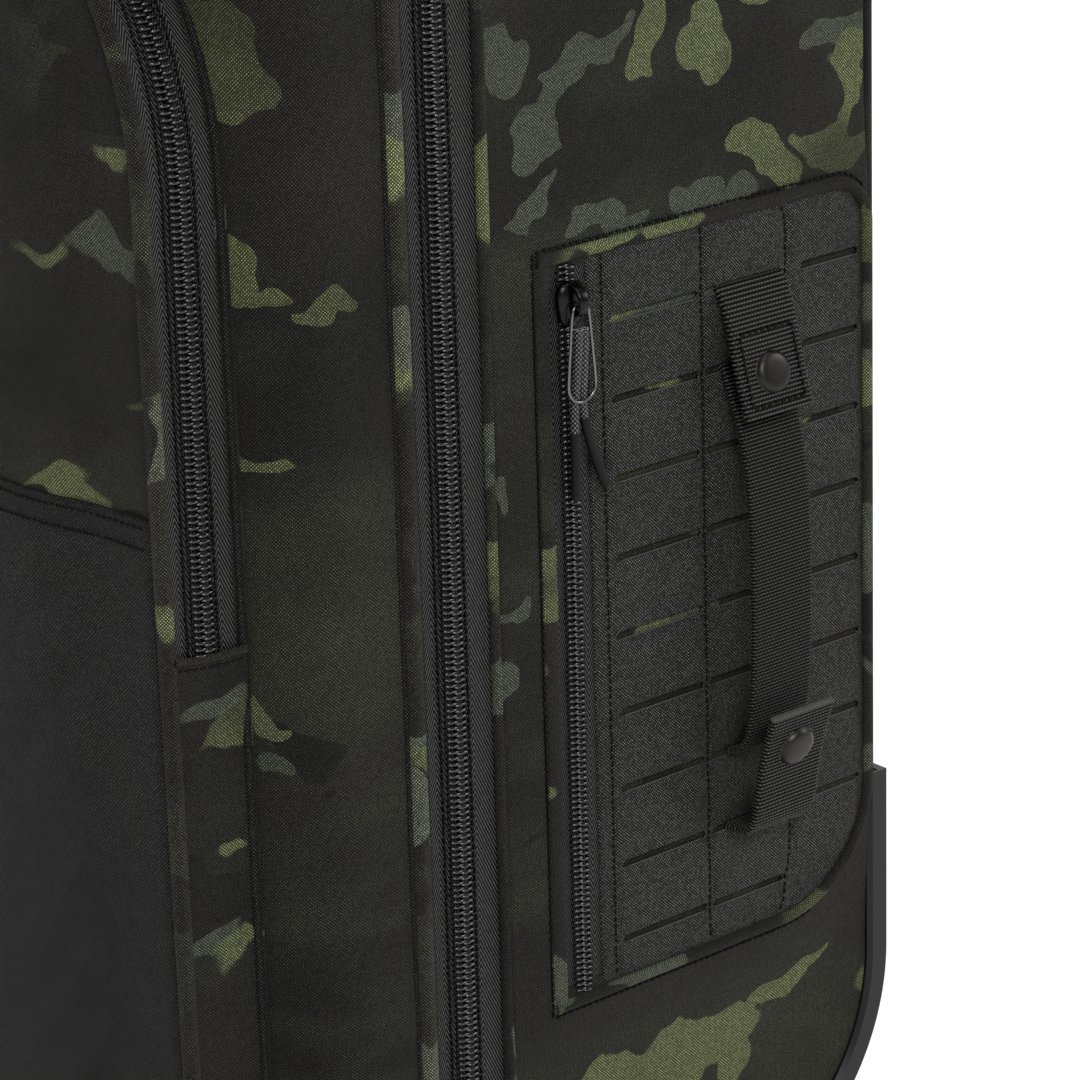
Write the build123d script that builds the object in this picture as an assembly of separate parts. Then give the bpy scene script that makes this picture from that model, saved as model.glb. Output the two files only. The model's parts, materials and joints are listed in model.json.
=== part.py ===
from build123d import *
import math
import os

# Upright rolling duffel bag: a zipped main compartment, a front lid with a pocket,
# a slotted pouch panel on each side, two rear wheels and a telescopic handle.
# Millimetres. +Z up, front is -Y, origin on the floor under the middle of the bag.

# ---- body of the bag ----
HALF_WIDTH = 190.0
BODY_BOTTOM = 28.0
BODY_TOP = 694.0
WALL = 4.0
TOP_CORNER_R = 50.0
BOTTOM_CORNER_R = 35.0
REAR_FACE = 131.0
BACK_SEAM = 124.0
HEEL_R = 75.0
SEAM_LINE = -44.3
TAPE_HALF = 12.9
COIL_HALF = 4.75
SEAM_GAP = 0.15
LID_FRONT = -109.0
LID_EDGE_R = 30.0
TAPE_INSET = 1.6
TAPE_THICK = 1.2
COIL_PROUD = 0.2

# ---- front pocket on the lid ----
POCKET_HALF_WIDTH = 172.0
POCKET_BOTTOM = 30.0
POCKET_TOP = 510.0
POCKET_FRONT = -136.5
POCKET_TOP_R = 100.0
POCKET_BOTTOM_R = 22.0
POCKET_WALL = 3.0
POCKET_COIL_Y = -123.0
POCKET_ZIP_END = 280.0
SCUFF_TOP = 323.0
SCUFF_THICK = 1.5

# ---- slotted side panel, its zip and its handle strap ----
GRID = 25.4
GRID_ZERO = 370.0
GRID_ROWS = 9
SLOT_HEIGHT = 2.7
SLOT_COLUMNS = ((18.0, 53.0), (56.0, 87.6), (96.0, 120.4))
PANEL_FRONT = 11.0
PANEL_REAR = 122.4
PANEL_BOTTOM = 128.5
PANEL_TOP = 366.5
PANEL_THICK = 2.6
PANEL_TOP_R = 13.0
PANEL_BOTTOM_R = 38.0
SIDE_COIL_Y = 1.5
SIDE_TAPE_FRONT = -11.5
STRAP_WIDTH = 25.4
STRAP_Y = 74.3
STRAP_THICK = 2.2
CAP_R = 7.0
CAP_HIGH = 3.2

# ---- wheels and the plastic round them ----
WHEEL_R = 38.0
WHEEL_WIDTH = 24.0
WHEEL_X = 150.0
WHEEL_Y = 100.0
TYRE_INNER_R = 29.0
WELL_R = 42.0
WELL_HALF = 14.0
CHEEK = 4.0
CHEEK_R = 24.0
AXLE_R = 4.0
AXLE_HEAD_R = 7.0
AXLE_HEAD = 3.0
BEARING_R = 11.0
BEARING_WIDTH = 7.0
RUNNING_GAP = 0.05
GUARD_THICK = 3.0
GUARD_FLANGE = 6.0
GUARD_TOP = 165.0
GUARD_INNER_X = 120.0
GUARD_PROUD = 2.5
GUARD_BEVEL = 1.4
GUARD_END_Y = 62.0

# ---- telescopic handle ----
TUBE_X = 75.0
TUBE_Y = 107.0
TUBE_WALL = 1.2
TUBE_GAP = 0.15
OUTER_TUBE = (24.0, 18.0, 4.0)
TUBE_LOW = 84.0
TUBE_HIGH = 676.0
STEP_UP = 12.0
BEZEL_FLOOR = 8.0
BEZEL_TOP = 699.0
GRIP_LOW = 690.0
GRIP_HIGH = 713.0
GRIP_HALF = 97.0
GRIP_DEPTH = 23.0
BUTTON = (30.0, 13.0)
BUTTON_TOP = 714.5

# ---- zip sliders and their pulls ----
SLIDER = (10.5, 13.0, 2.6)
BRIDGE = (3.2, 8.0, 4.0)
WIRE_R = 0.6
LOOP_LENGTH = 33.0
LOOP_TOP_HALF = 2.6
LOOP_LOW_HALF = 3.8
CORD_R = 1.1
SIDE_SLIDER_Z = 353.5
MAIN_SLIDER_X = 12.0
POCKET_SLIDER_X = 45.0


# ------------------------------------------------------------------ helpers
def along_y(sketch, low, high):
    """Extrude a sketch drawn in (x, z) from y = low to y = high."""
    plane = Plane(origin=(0, high, 0), x_dir=(1, 0, 0), z_dir=(0, -1, 0))
    return extrude(plane * sketch, amount=high - low)


def along_x(sketch, low, high):
    """Extrude a sketch drawn in (y, z) from x = low to x = high."""
    plane = Plane(origin=(low, 0, 0), x_dir=(0, 1, 0), z_dir=(1, 0, 0))
    return extrude(plane * sketch, amount=high - low)


def block(low, high):
    """A box from its lowest to its highest corner."""
    size = [b - a for a, b in zip(low, high)]
    centre = [(a + b) / 2 for a, b in zip(low, high)]
    return Pos(*centre) * Box(*size)


def x_cylinder(radius, low, high, y, z):
    """A cylinder along X."""
    turned = Rot(0, 90, 0) * Cylinder(radius, high - low)
    return Pos((low + high) / 2, y, z) * turned


def rounded(low, high, r_low, r_high):
    """A rectangle between two corners, with one radius below and one above."""
    shape = Pos((low[0] + high[0]) / 2, (low[1] + high[1]) / 2) * Rectangle(high[0] - low[0], high[1] - low[1])
    corners = shape.vertices().group_by(Axis.Y)
    shape = fillet(corners[-1], r_high)
    return fillet(shape.vertices().group_by(Axis.Y)[0], r_low)


def mirrored(shape):
    """The same piece on the left of the bag."""
    return mirror(shape, about=Plane.YZ)


def save(name, shape):
    """Write one sub-part."""
    export_step(shape, "parts/" + name + ".step")


def ribbon(points, thickness):
    """The section of a bent strip: its centre line, given half the thickness each way."""
    upper = []
    lower = []
    for i, point in enumerate(points):
        before = points[max(i - 1, 0)]
        after = points[min(i + 1, len(points) - 1)]
        run = math.hypot(after[0] - before[0], after[1] - before[1])
        normal = (-(after[1] - before[1]) / run, (after[0] - before[0]) / run)
        upper.append((point[0] + normal[0] * thickness / 2, point[1] + normal[1] * thickness / 2))
        lower.append((point[0] - normal[0] * thickness / 2, point[1] - normal[1] * thickness / 2))
    return make_face(Polyline(*upper, *reversed(lower), close=True))


# ------------------------------------------------------------------ shell
def outline(inset):
    """The bag seen from the front, drawn inwards by an inset."""
    half = HALF_WIDTH - inset
    low = BODY_BOTTOM + inset
    high = BODY_TOP - inset
    return rounded((-half, low), (half, high), BOTTOM_CORNER_R - inset, TOP_CORNER_R - inset)


def heel_profile(inset):
    """The bag seen from the side, with its rounded heel, drawn inwards by an inset."""
    low = (-200.0, BODY_BOTTOM + inset)
    high = (REAR_FACE - inset, BODY_TOP + 100.0)
    width = high[0] - low[0]
    height = high[1] - low[1]
    shape = Pos((low[0] + high[0]) / 2, (low[1] + high[1]) / 2) * Rectangle(width, height)
    heel = shape.vertices().group_by(Axis.Y)[0].sort_by(Axis.X)[-1]
    return fillet(heel, HEEL_R - inset)


def envelope(inset, low, high):
    """A solid slice of the bag between two y values."""
    return along_y(outline(inset), low, high) & along_x(heel_profile(inset), -300, 300)


def wheel_room():
    """What the shell leaves free for both wheel wells."""
    outer = WELL_R + CHEEK
    half = WELL_HALF + CHEEK
    right = x_cylinder(outer, WHEEL_X - half, WHEEL_X + half, WHEEL_Y, WHEEL_R)
    return right + mirrored(right)


def axle_room():
    """Room for the head and the nut of the right axle."""
    half = WELL_HALF + CHEEK
    reach = AXLE_HEAD + 1
    radius = AXLE_HEAD_R + 1
    inner = x_cylinder(radius, WHEEL_X - half - reach, WHEEL_X - half, WHEEL_Y, WHEEL_R)
    return inner + x_cylinder(radius, WHEEL_X + half, WHEEL_X + half + reach, WHEEL_Y, WHEEL_R)


def bezel_room():
    """The cut in the top for the handle's bezel."""
    return block((-104, 92, TUBE_HIGH), (104, 122, BODY_TOP + 1))


def shell_band():
    """Sides, top and bottom of the main compartment, as one band."""
    front = SEAM_LINE + TAPE_HALF
    solid = envelope(0, front, BACK_SEAM) - envelope(WALL, front - 1, BACK_SEAM + 1)
    return solid - wheel_room() - axle_room() - mirrored(axle_room()) - bezel_room()


def back_panel():
    """The stiff back, behind the handle tubes."""
    return envelope(0, BACK_SEAM, REAR_FACE) - wheel_room()


def frame_sheet():
    """Plastic sheet that stiffens the back."""
    sheet = envelope(WALL + 0.5, 119.0, 121.5)
    return sheet - wheel_room() - block((-110, 110, 670), (110, 130, 700))


def lining_wall():
    """Padded wall between the main compartment and the handle tubes."""
    wall = envelope(WALL, 88.0, 91.0)
    return wall - wheel_room()


def zip_half(low, high, coil_low, coil_high):
    """Half of the seam zip: a tape all round, and its half of the coil."""
    tape = along_y(outline(TAPE_INSET), low, high)
    tape -= along_y(outline(TAPE_INSET + TAPE_THICK), low - 1, high + 1)
    coil = along_y(outline(-COIL_PROUD), coil_low, coil_high)
    coil -= along_y(outline(TAPE_INSET), coil_low - 1, coil_high + 1)
    return tape + coil


def body_zip():
    """The half of the zip that is sewn to the main compartment."""
    low = SEAM_LINE + SEAM_GAP
    return zip_half(low, SEAM_LINE + TAPE_HALF, low, SEAM_LINE + COIL_HALF)


def lid_zip():
    """The half of the zip that is sewn to the lid."""
    high = SEAM_LINE - SEAM_GAP
    return zip_half(SEAM_LINE - TAPE_HALF, high, SEAM_LINE - COIL_HALF, high)


def lid_corner(inset):
    """The lid seen from above, with its rounded front edges."""
    half = HALF_WIDTH - inset
    shape = rounded((-half, LID_FRONT + inset), (half, 0), LID_EDGE_R - inset, 1)
    return extrude(shape, amount=BODY_TOP + 50)


def lid_shell():
    """Front half of the bag: a tray that is open towards the main compartment."""
    rear = SEAM_LINE - TAPE_HALF
    outer = along_y(outline(0), LID_FRONT, rear) & lid_corner(0)
    inner = along_y(outline(WALL), LID_FRONT + WALL, rear + 1) & lid_corner(WALL)
    return outer - inner


# ------------------------------------------------------------------ front pocket
def pocket_outline(grow):
    """The front pocket seen from the front."""
    half = POCKET_HALF_WIDTH + grow
    low = (-half, POCKET_BOTTOM - grow)
    high = (half, POCKET_TOP + grow)
    return rounded(low, high, POCKET_BOTTOM_R + grow, POCKET_TOP_R + grow)


def lower_pocket():
    """The pocket's gusset and front, open towards the lid."""
    outer = along_y(pocket_outline(0), POCKET_FRONT, LID_FRONT)
    return outer - along_y(pocket_outline(-POCKET_WALL), POCKET_FRONT + POCKET_WALL, LID_FRONT + 1)


def lower_pocket_zip():
    """Tape and coil round the top of the pocket's gusset."""
    tape = along_y(pocket_outline(1.0), POCKET_COIL_Y - 10, POCKET_COIL_Y + 10)
    coil = along_y(pocket_outline(2.6), POCKET_COIL_Y - 3, POCKET_COIL_Y + 3)
    ring = tape + coil - along_y(pocket_outline(0), -140, -100)
    return ring - block((-250, -150, 0), (250, -90, POCKET_ZIP_END))


def scuff_panel():
    """Smooth wear panel on the lower front of the pocket."""
    half = POCKET_HALF_WIDTH - 2
    plate = rounded((-half, POCKET_BOTTOM + 4), (half, SCUFF_TOP), POCKET_BOTTOM_R - 2, 2)
    return along_y(plate, POCKET_FRONT - SCUFF_THICK, POCKET_FRONT)


# ------------------------------------------------------------------ side panel
def side_pocket():
    """Pouch panel with rows of webbing slots, on the right."""
    low = (PANEL_FRONT, PANEL_BOTTOM)
    high = (PANEL_REAR, PANEL_TOP)
    centre = ((low[0] + high[0]) / 2, (low[1] + high[1]) / 2)
    plate = Pos(*centre) * Rectangle(high[0] - low[0], high[1] - low[1])
    plate = fillet(plate.vertices().group_by(Axis.X)[-1].sort_by(Axis.Y)[-1], PANEL_TOP_R)
    plate = fillet(plate.vertices().group_by(Axis.X)[-1].sort_by(Axis.Y)[0], PANEL_BOTTOM_R)
    for row in range(1, GRID_ROWS + 1):
        for first, last in SLOT_COLUMNS:
            if row == GRID_ROWS and last > 100:
                continue
            middle = ((first + last) / 2, GRID_ZERO - GRID * row)
            plate -= Pos(*middle) * Rectangle(last - first, SLOT_HEIGHT)
    return along_x(plate, HALF_WIDTH, HALF_WIDTH + PANEL_THICK)


def side_zip():
    """Upright zip in front of the pouch panel."""
    tape = block((HALF_WIDTH, SIDE_TAPE_FRONT, PANEL_BOTTOM - 1), (HALF_WIDTH + 1, PANEL_FRONT, PANEL_TOP))
    coil = block(
        (HALF_WIDTH + 1, SIDE_COIL_Y - 3, PANEL_BOTTOM - 1),
        (HALF_WIDTH + 2.8, SIDE_COIL_Y + 3, PANEL_TOP),
    )
    return tape + coil


def strip_on_side(points):
    """Webbing that stands off the panel; points are (distance out, height on the grid)."""
    placed = [(HALF_WIDTH + PANEL_THICK + out, GRID_ZERO + up) for out, up in points]
    return along_y(ribbon(placed, STRAP_THICK), STRAP_Y - STRAP_WIDTH / 2, STRAP_Y + STRAP_WIDTH / 2)


STRAP_LINE = (
    (0.2, -50.8),
    (2.4, -57.0),
    (7.4, -68.0),
    (11.2, -86.0),
    (12.6, -104.0),
    (12.8, -130.0),
    (12.0, -150.0),
    (9.6, -163.0),
    (6.4, -172.0),
    (0.2, -177.8),
)
UPPER_TAB_LINE = ((2.0, -28.2), (5.0, -38.0), (8.2, -52.6), (13.0, -65.2))
LOWER_TAB_LINE = ((2.6, -201.4), (8.6, -194.0), (13.6, -185.0), (17.0, -173.6), (22.0, -160.0))


def above_panel(gap):
    """Everything further out than the panel's face."""
    return block((HALF_WIDTH + PANEL_THICK + gap, 0, 100), (300, 150, 400))


def side_strap():
    """Handle strap that runs through two slots and stands off the panel."""
    return strip_on_side(STRAP_LINE) & above_panel(0)


def snap_cap(out, up, tilt):
    """Domed press-stud cap on a tab."""
    cap = Cylinder(CAP_R, CAP_HIGH, align=(Align.CENTER, Align.CENTER, Align.MIN))
    place = Pos(HALF_WIDTH + PANEL_THICK + out, STRAP_Y, GRID_ZERO + up)
    return place * Rot(0, 90 + tilt, 0) * cap


def upper_tab():
    """Short tab over the strap's top end, with its press-stud cap."""
    return (strip_on_side(UPPER_TAB_LINE) & above_panel(0.3)) + snap_cap(9.0, -52.6, -17)


def lower_tab():
    """Short tab over the strap's lower end, with its press-stud cap."""
    return (strip_on_side(LOWER_TAB_LINE) & above_panel(0.3)) + snap_cap(17.6, -173.6, 19)


def snap_socket(out, up, tilt):
    """The half of a press stud that is riveted to the strap."""
    ring = Cylinder(4.5, 1.6, align=(Align.CENTER, Align.CENTER, Align.MIN))
    place = Pos(HALF_WIDTH + PANEL_THICK + out, STRAP_Y, GRID_ZERO + up)
    return place * Rot(0, 90 + tilt, 0) * ring


def snap_sockets():
    """All four press-stud sockets."""
    right = snap_socket(3.3, -54.5, -17) + snap_socket(9.5, -170.0, 19)
    right -= side_strap()
    return right + mirrored(right)


# ------------------------------------------------------------------ wheels
def wheel_housing():
    """Corner guard, wheel well and the cheeks that carry the axle, on the right."""
    outer = WELL_R + CHEEK
    half = WELL_HALF + CHEEK
    low = WHEEL_X - half
    high = WHEEL_X + half
    well = x_cylinder(outer, low, high, WHEEL_Y, WHEEL_R)
    well &= along_x(heel_profile(0), low, high)
    skin = heel_profile(-GUARD_THICK)
    plate = along_x(skin - heel_profile(0), GUARD_INNER_X, HALF_WIDTH)
    flange = along_x(skin - heel_profile(GUARD_FLANGE), HALF_WIDTH, HALF_WIDTH + GUARD_PROUD)
    reach = block((0, GUARD_END_Y, 0), (300, 200, GUARD_TOP))
    flange = flange & reach
    flange = chamfer(flange.faces().sort_by(Axis.X)[-1].edges(), GUARD_BEVEL)
    cheeks = x_cylinder(CHEEK_R, low, high, WHEEL_Y, WHEEL_R)
    body = well + (plate & reach) + flange - axle_room() + cheeks
    body -= x_cylinder(WELL_R, WHEEL_X - WELL_HALF, WHEEL_X + WELL_HALF, WHEEL_Y, WHEEL_R)
    return body - x_cylinder(AXLE_R, low - 1, high + 1, WHEEL_Y, WHEEL_R)


def wheel_axles():
    """A headed axle bolt through each pair of cheeks."""
    low = WHEEL_X - WELL_HALF - CHEEK
    high = WHEEL_X + WELL_HALF + CHEEK
    shaft = x_cylinder(AXLE_R, low, high, WHEEL_Y, WHEEL_R)
    nut = x_cylinder(AXLE_HEAD_R, low - AXLE_HEAD, low, WHEEL_Y, WHEEL_R)
    head = x_cylinder(AXLE_HEAD_R, high, high + AXLE_HEAD, WHEEL_Y, WHEEL_R)
    right = shaft + nut + head
    return right + mirrored(right)


def tyre():
    """Soft tread of the right wheel."""
    half = WHEEL_WIDTH / 2
    ring = x_cylinder(WHEEL_R, WHEEL_X - half, WHEEL_X + half, WHEEL_Y, WHEEL_R)
    ring = chamfer(ring.edges(), 2.0)
    return ring - x_cylinder(TYRE_INNER_R, WHEEL_X - half - 1, WHEEL_X + half + 1, WHEEL_Y, WHEEL_R)


def hub():
    """Hub of the right wheel, with a seat for a bearing in each end."""
    half = WHEEL_WIDTH / 2 - 0.5
    low = WHEEL_X - half
    high = WHEEL_X + half
    body = x_cylinder(TYRE_INNER_R, low, high, WHEEL_Y, WHEEL_R)
    body -= x_cylinder(BEARING_R, low - 1, low + BEARING_WIDTH, WHEEL_Y, WHEEL_R)
    body -= x_cylinder(BEARING_R, high - BEARING_WIDTH, high + 1, WHEEL_Y, WHEEL_R)
    body -= x_cylinder(AXLE_R + 1.5, low - 1, high + 1, WHEEL_Y, WHEEL_R)
    for i in range(6):
        turn = math.radians(60 * i)
        y = WHEEL_Y + 20.5 * math.cos(turn)
        z = WHEEL_R + 20.5 * math.sin(turn)
        body -= x_cylinder(5.5, WHEEL_X + 2, high + 1, y, z)
    return body


def bearings():
    """The two ball bearings of the right wheel, each as a plain ring."""
    half = WHEEL_WIDTH / 2 - 0.5
    rings = []
    for low in (WHEEL_X - half, WHEEL_X + half - BEARING_WIDTH):
        ring = x_cylinder(BEARING_R, low, low + BEARING_WIDTH, WHEEL_Y, WHEEL_R)
        rings.append(ring - x_cylinder(AXLE_R + RUNNING_GAP, low - 1, low + BEARING_WIDTH + 1, WHEEL_Y, WHEEL_R))
    return rings[0] + rings[1]


def front_feet():
    """Two feet that hold the bag upright with the wheels."""
    foot = block((105, -28, 0), (165, 8, BODY_BOTTOM))
    foot = fillet(foot.edges().filter_by(Axis.Z), 6)
    foot = chamfer(foot.faces().sort_by(Axis.Z)[0].edges(), 2)
    return foot + mirrored(foot)


def skid_rails():
    """Two runners down the back."""
    rail = rounded((112, 185), (130, 600), 8.9, 8.9)
    right = along_y(rail, REAR_FACE, WHEEL_Y + WHEEL_R)
    return right + mirrored(right)


def housing_screws():
    """Screws that hold the wheel housings to the back."""
    screws = []
    for x, z in ((128, 150), (178, 150), (128, 112), (178, 112)):
        head = Pos(x, REAR_FACE + GUARD_THICK + 0.8, z) * Rot(90, 0, 0) * Cylinder(4.0, 1.6)
        screws.append(head)
        screws.append(mirrored(head))
    return Compound(screws)


# ------------------------------------------------------------------ handle
def tube_pair(size, low, high):
    """Two rectangular tubes with rounded corners."""
    width, depth, radius = size
    section = RectangleRounded(width, depth, radius)
    hole_size = (width - 2 * TUBE_WALL, depth - 2 * TUBE_WALL, max(radius - TUBE_WALL, 0.4))
    section -= RectangleRounded(*hole_size)
    tube = extrude(section, amount=high - low)
    return Pos(-TUBE_X, TUBE_Y, low) * tube + Pos(TUBE_X, TUBE_Y, low) * tube


def next_size(size):
    """The tube that slides inside a tube of this size."""
    less = 2 * (TUBE_WALL + TUBE_GAP)
    return (size[0] - less, size[1] - less, max(size[2] - less / 2, 0.5))


STAGE_1 = next_size(OUTER_TUBE)
STAGE_2 = next_size(STAGE_1)
FLOOR_TOP = TUBE_HIGH + BEZEL_FLOOR


def tube_plugs(size, grow, low, high):
    """Solid bars of a tube's outer size, to cut its holes."""
    section = RectangleRounded(size[0] + 2 * grow, size[1] + 2 * grow, size[2] + grow)
    bar = extrude(section, amount=high - low)
    return Pos(-TUBE_X, TUBE_Y, low) * bar + Pos(TUBE_X, TUBE_Y, low) * bar


def tube_foot():
    """Bracket that carries the lower ends of the outer tubes."""
    return block((-92, 98, TUBE_LOW - STEP_UP), (92, 116, TUBE_LOW))


def handle_bezel():
    """Housing in the top of the bag that the grip drops into."""
    body = block((-104, 92, TUBE_HIGH), (104, 122, BODY_TOP))
    flange = extrude(Pos(0, 106.5, BODY_TOP) * RectangleRounded(224, 45, 9), amount=BEZEL_TOP - BODY_TOP)
    recess_sketch = Pos(0, TUBE_Y, FLOOR_TOP) * RectangleRounded(2 * GRIP_HALF + 3, GRIP_DEPTH + 2, 8)
    recess = extrude(recess_sketch, amount=BEZEL_TOP - FLOOR_TOP + 1)
    return body + flange - recess - tube_plugs(STAGE_1, 0.3, TUBE_HIGH - 1, FLOOR_TOP + 1)


def stage_1_collars():
    """Plastic collars on the tops of the middle tubes."""
    outer = tube_plugs(STAGE_1, 1.6, FLOOR_TOP + 0.3, GRIP_LOW - 1)
    return outer - tube_plugs(STAGE_1, 0, FLOOR_TOP, GRIP_LOW)


def handle_grip():
    """Hollow grip bar across the tops of the inner tubes."""
    section = Pos(0, TUBE_Y, GRIP_LOW) * RectangleRounded(2 * GRIP_HALF, GRIP_DEPTH, 7)
    grip = extrude(section, amount=GRIP_HIGH - GRIP_LOW)
    grip = fillet(grip.faces().sort_by(Axis.Z)[-1].edges(), 3)
    room = block((-86, TUBE_Y - 7.5, GRIP_LOW + 5), (86, TUBE_Y + 7.5, GRIP_HIGH - 4))
    hole = Pos(0, TUBE_Y, GRIP_HIGH) * Box(BUTTON[0] + 0.6, BUTTON[1] + 0.6, 20)
    return grip - room - hole - tube_plugs(STAGE_2, 0, GRIP_LOW - 1, GRIP_LOW + 6)


def handle_button():
    """Release button in the top of the grip."""
    height = BUTTON_TOP - (GRIP_HIGH - 7)
    button = Pos(0, TUBE_Y, BUTTON_TOP - height / 2) * Box(BUTTON[0], BUTTON[1], height)
    return fillet(button.faces().sort_by(Axis.Z)[-1].edges(), 1.2)


def release_rods():
    """Yoke under the button, with a rod down each inner tube."""
    high = GRIP_HIGH - 7
    yoke = block((-TUBE_X - 5, TUBE_Y - 4, high - 4), (TUBE_X + 5, TUBE_Y + 4, high))
    low = TUBE_LOW + 4 * STEP_UP
    rods = []
    for x in (-TUBE_X, TUBE_X):
        rod = Cylinder(2.5, high - 4 - low, align=(Align.CENTER, Align.CENTER, Align.MIN))
        rods.append(Pos(x, TUBE_Y, low) * rod)
    return yoke + rods[0] + rods[1]


# ------------------------------------------------------------------ carry handles
def carry_strip(half, rise, width, y, base, up):
    """A webbing handle that arches off a flat face; up is 1 above it and -1 below it."""
    foot = half + 24
    offset = STRAP_THICK / 2
    line = (
        (-foot, base + up * offset),
        (-half, base + up * offset),
        (-half + 26, base + up * (rise - offset)),
        (0, base + up * (rise - offset + 0.4)),
        (half - 26, base + up * (rise - offset)),
        (half, base + up * offset),
        (foot, base + up * offset),
    )
    strip = along_y(ribbon(line, STRAP_THICK), y - width / 2, y + width / 2)
    span = 2 * foot + 10
    keep = block((-span, y - width, base), (span, y + width, base + 60))
    if up < 0:
        keep = block((-span, y - width, base - 60), (span, y + width, base))
    return strip & keep


def top_handle():
    """Carry handle on the top."""
    return carry_strip(84.0, 16.0, 38.0, 34.0, BODY_TOP, 1)


def bottom_handle():
    """Grab handle under the bag."""
    return carry_strip(62.0, 14.0, 38.0, 30.0, BODY_BOTTOM, -1)


# ------------------------------------------------------------------ zip sliders
def facing(origin, across, outward):
    """A frame for one slider: X across the zip, Y along its pull, Z out of the bag."""
    return Plane(origin=origin, x_dir=across, z_dir=outward)


def slider():
    """Slider body over the coil, with a bridge for the wire loop."""
    plate = Pos(0, 0, SLIDER[2] / 2) * Box(*SLIDER)
    plate = fillet(plate.edges().filter_by(Axis.Z), 2.5)
    bridge = Pos(0, 0, SLIDER[2] + BRIDGE[2] / 2) * Box(*BRIDGE)
    bridge = fillet(bridge.edges().filter_by(Axis.X).group_by(Axis.Z)[-1], 1.8)
    hole = Pos(0, 0, SLIDER[2] + 1.8) * Rot(0, 90, 0) * Cylinder(WIRE_R + 0.4, 10)
    return plate + bridge - hole


def rod_between(start, end, radius):
    """A round bar from one point to another."""
    a = Vector(*start)
    b = Vector(*end)
    plane = Plane(origin=a, z_dir=b - a)
    bar = Cylinder(radius, (b - a).length, align=(Align.CENTER, Align.CENTER, Align.MIN))
    return plane * bar


LOOP_Z = SLIDER[2] + 1.8


def wire_pull():
    """Bent wire loop that hangs in the slider's bridge."""
    corners = (
        (-LOOP_TOP_HALF, 0, LOOP_Z),
        (LOOP_TOP_HALF, 0, LOOP_Z),
        (LOOP_LOW_HALF, LOOP_LENGTH, LOOP_Z),
        (-LOOP_LOW_HALF, LOOP_LENGTH, LOOP_Z),
    )
    loop = Pos(*corners[0]) * Sphere(WIRE_R)
    for i in range(4):
        loop += rod_between(corners[i], corners[(i + 1) % 4], WIRE_R)
        loop += Pos(*corners[i]) * Sphere(WIRE_R)
    return loop


# Each strand of a pull cord starts in the loop, passes under its far bar and runs on.
STRAIGHT_STRAND = (
    (1.12, 7.0, LOOP_Z + 0.3),
    (1.25, 18.0, LOOP_Z - 0.4),
    (1.5, 32.0, LOOP_Z - 2.2),
    (1.9, 45.0, LOOP_Z - 1.6),
    (1.6, 61.0, LOOP_Z - 2.0),
)
SPLAYED_STRAND = (
    (-1.12, 7.0, LOOP_Z + 0.3),
    (-1.25, 18.0, LOOP_Z - 0.4),
    (-1.5, 32.0, LOOP_Z - 2.2),
    (-4.2, 45.0, LOOP_Z - 1.5),
    (-10.5, 59.5, LOOP_Z - 2.0),
)


def corner_radii(points):
    """The largest arc at each corner that its two runs allow."""
    radii = []
    for before, here, after in zip(points, points[1:], points[2:]):
        first = Vector(*here) - Vector(*before)
        second = Vector(*after) - Vector(*here)
        half_turn = math.radians(first.get_angle(second)) / 2
        radii.append(0.45 * min(first.length, second.length) / math.tan(half_turn))
    return radii


def strand(points):
    """One limp cord: straight runs joined by tangent arcs."""
    radii = corner_radii(points)
    print("cord radii", [round(radius, 1) for radius in radii])
    path = FilletPolyline(*points, radius=radii)
    start = Plane(origin=path @ 0, z_dir=path % 0)
    tube = sweep(start * Circle(CORD_R), path=path)
    ratio = tube.volume / (math.pi * CORD_R**2 * path.length)
    print("cord length", round(path.length, 2), "volume ratio", round(ratio, 4))
    return tube


def pull_cords():
    """The two strands of one pull."""
    return Compound([strand(STRAIGHT_STRAND), strand(SPLAYED_STRAND)])


def slider_frames():
    """Where each slider sits, by name."""
    side_face = HALF_WIDTH + 2.8 + 0.3
    top_face = BODY_TOP + COIL_PROUD + 0.3
    pocket_face = POCKET_TOP + 2.6 + 0.3
    return {
        "side_right": facing((side_face, SIDE_COIL_Y, SIDE_SLIDER_Z), (0, -1, 0), (1, 0, 0)),
        "side_left": facing((-side_face, SIDE_COIL_Y, SIDE_SLIDER_Z), (0, 1, 0), (-1, 0, 0)),
        "main_right": facing((MAIN_SLIDER_X, SEAM_LINE, top_face), (0, -1, 0), (0, 0, 1)),
        "main_left": facing((-MAIN_SLIDER_X, SEAM_LINE, top_face), (0, 1, 0), (0, 0, 1)),
        "pocket": facing((POCKET_SLIDER_X, POCKET_COIL_Y, pocket_face), (0, -1, 0), (0, 0, 1)),
    }


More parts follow.
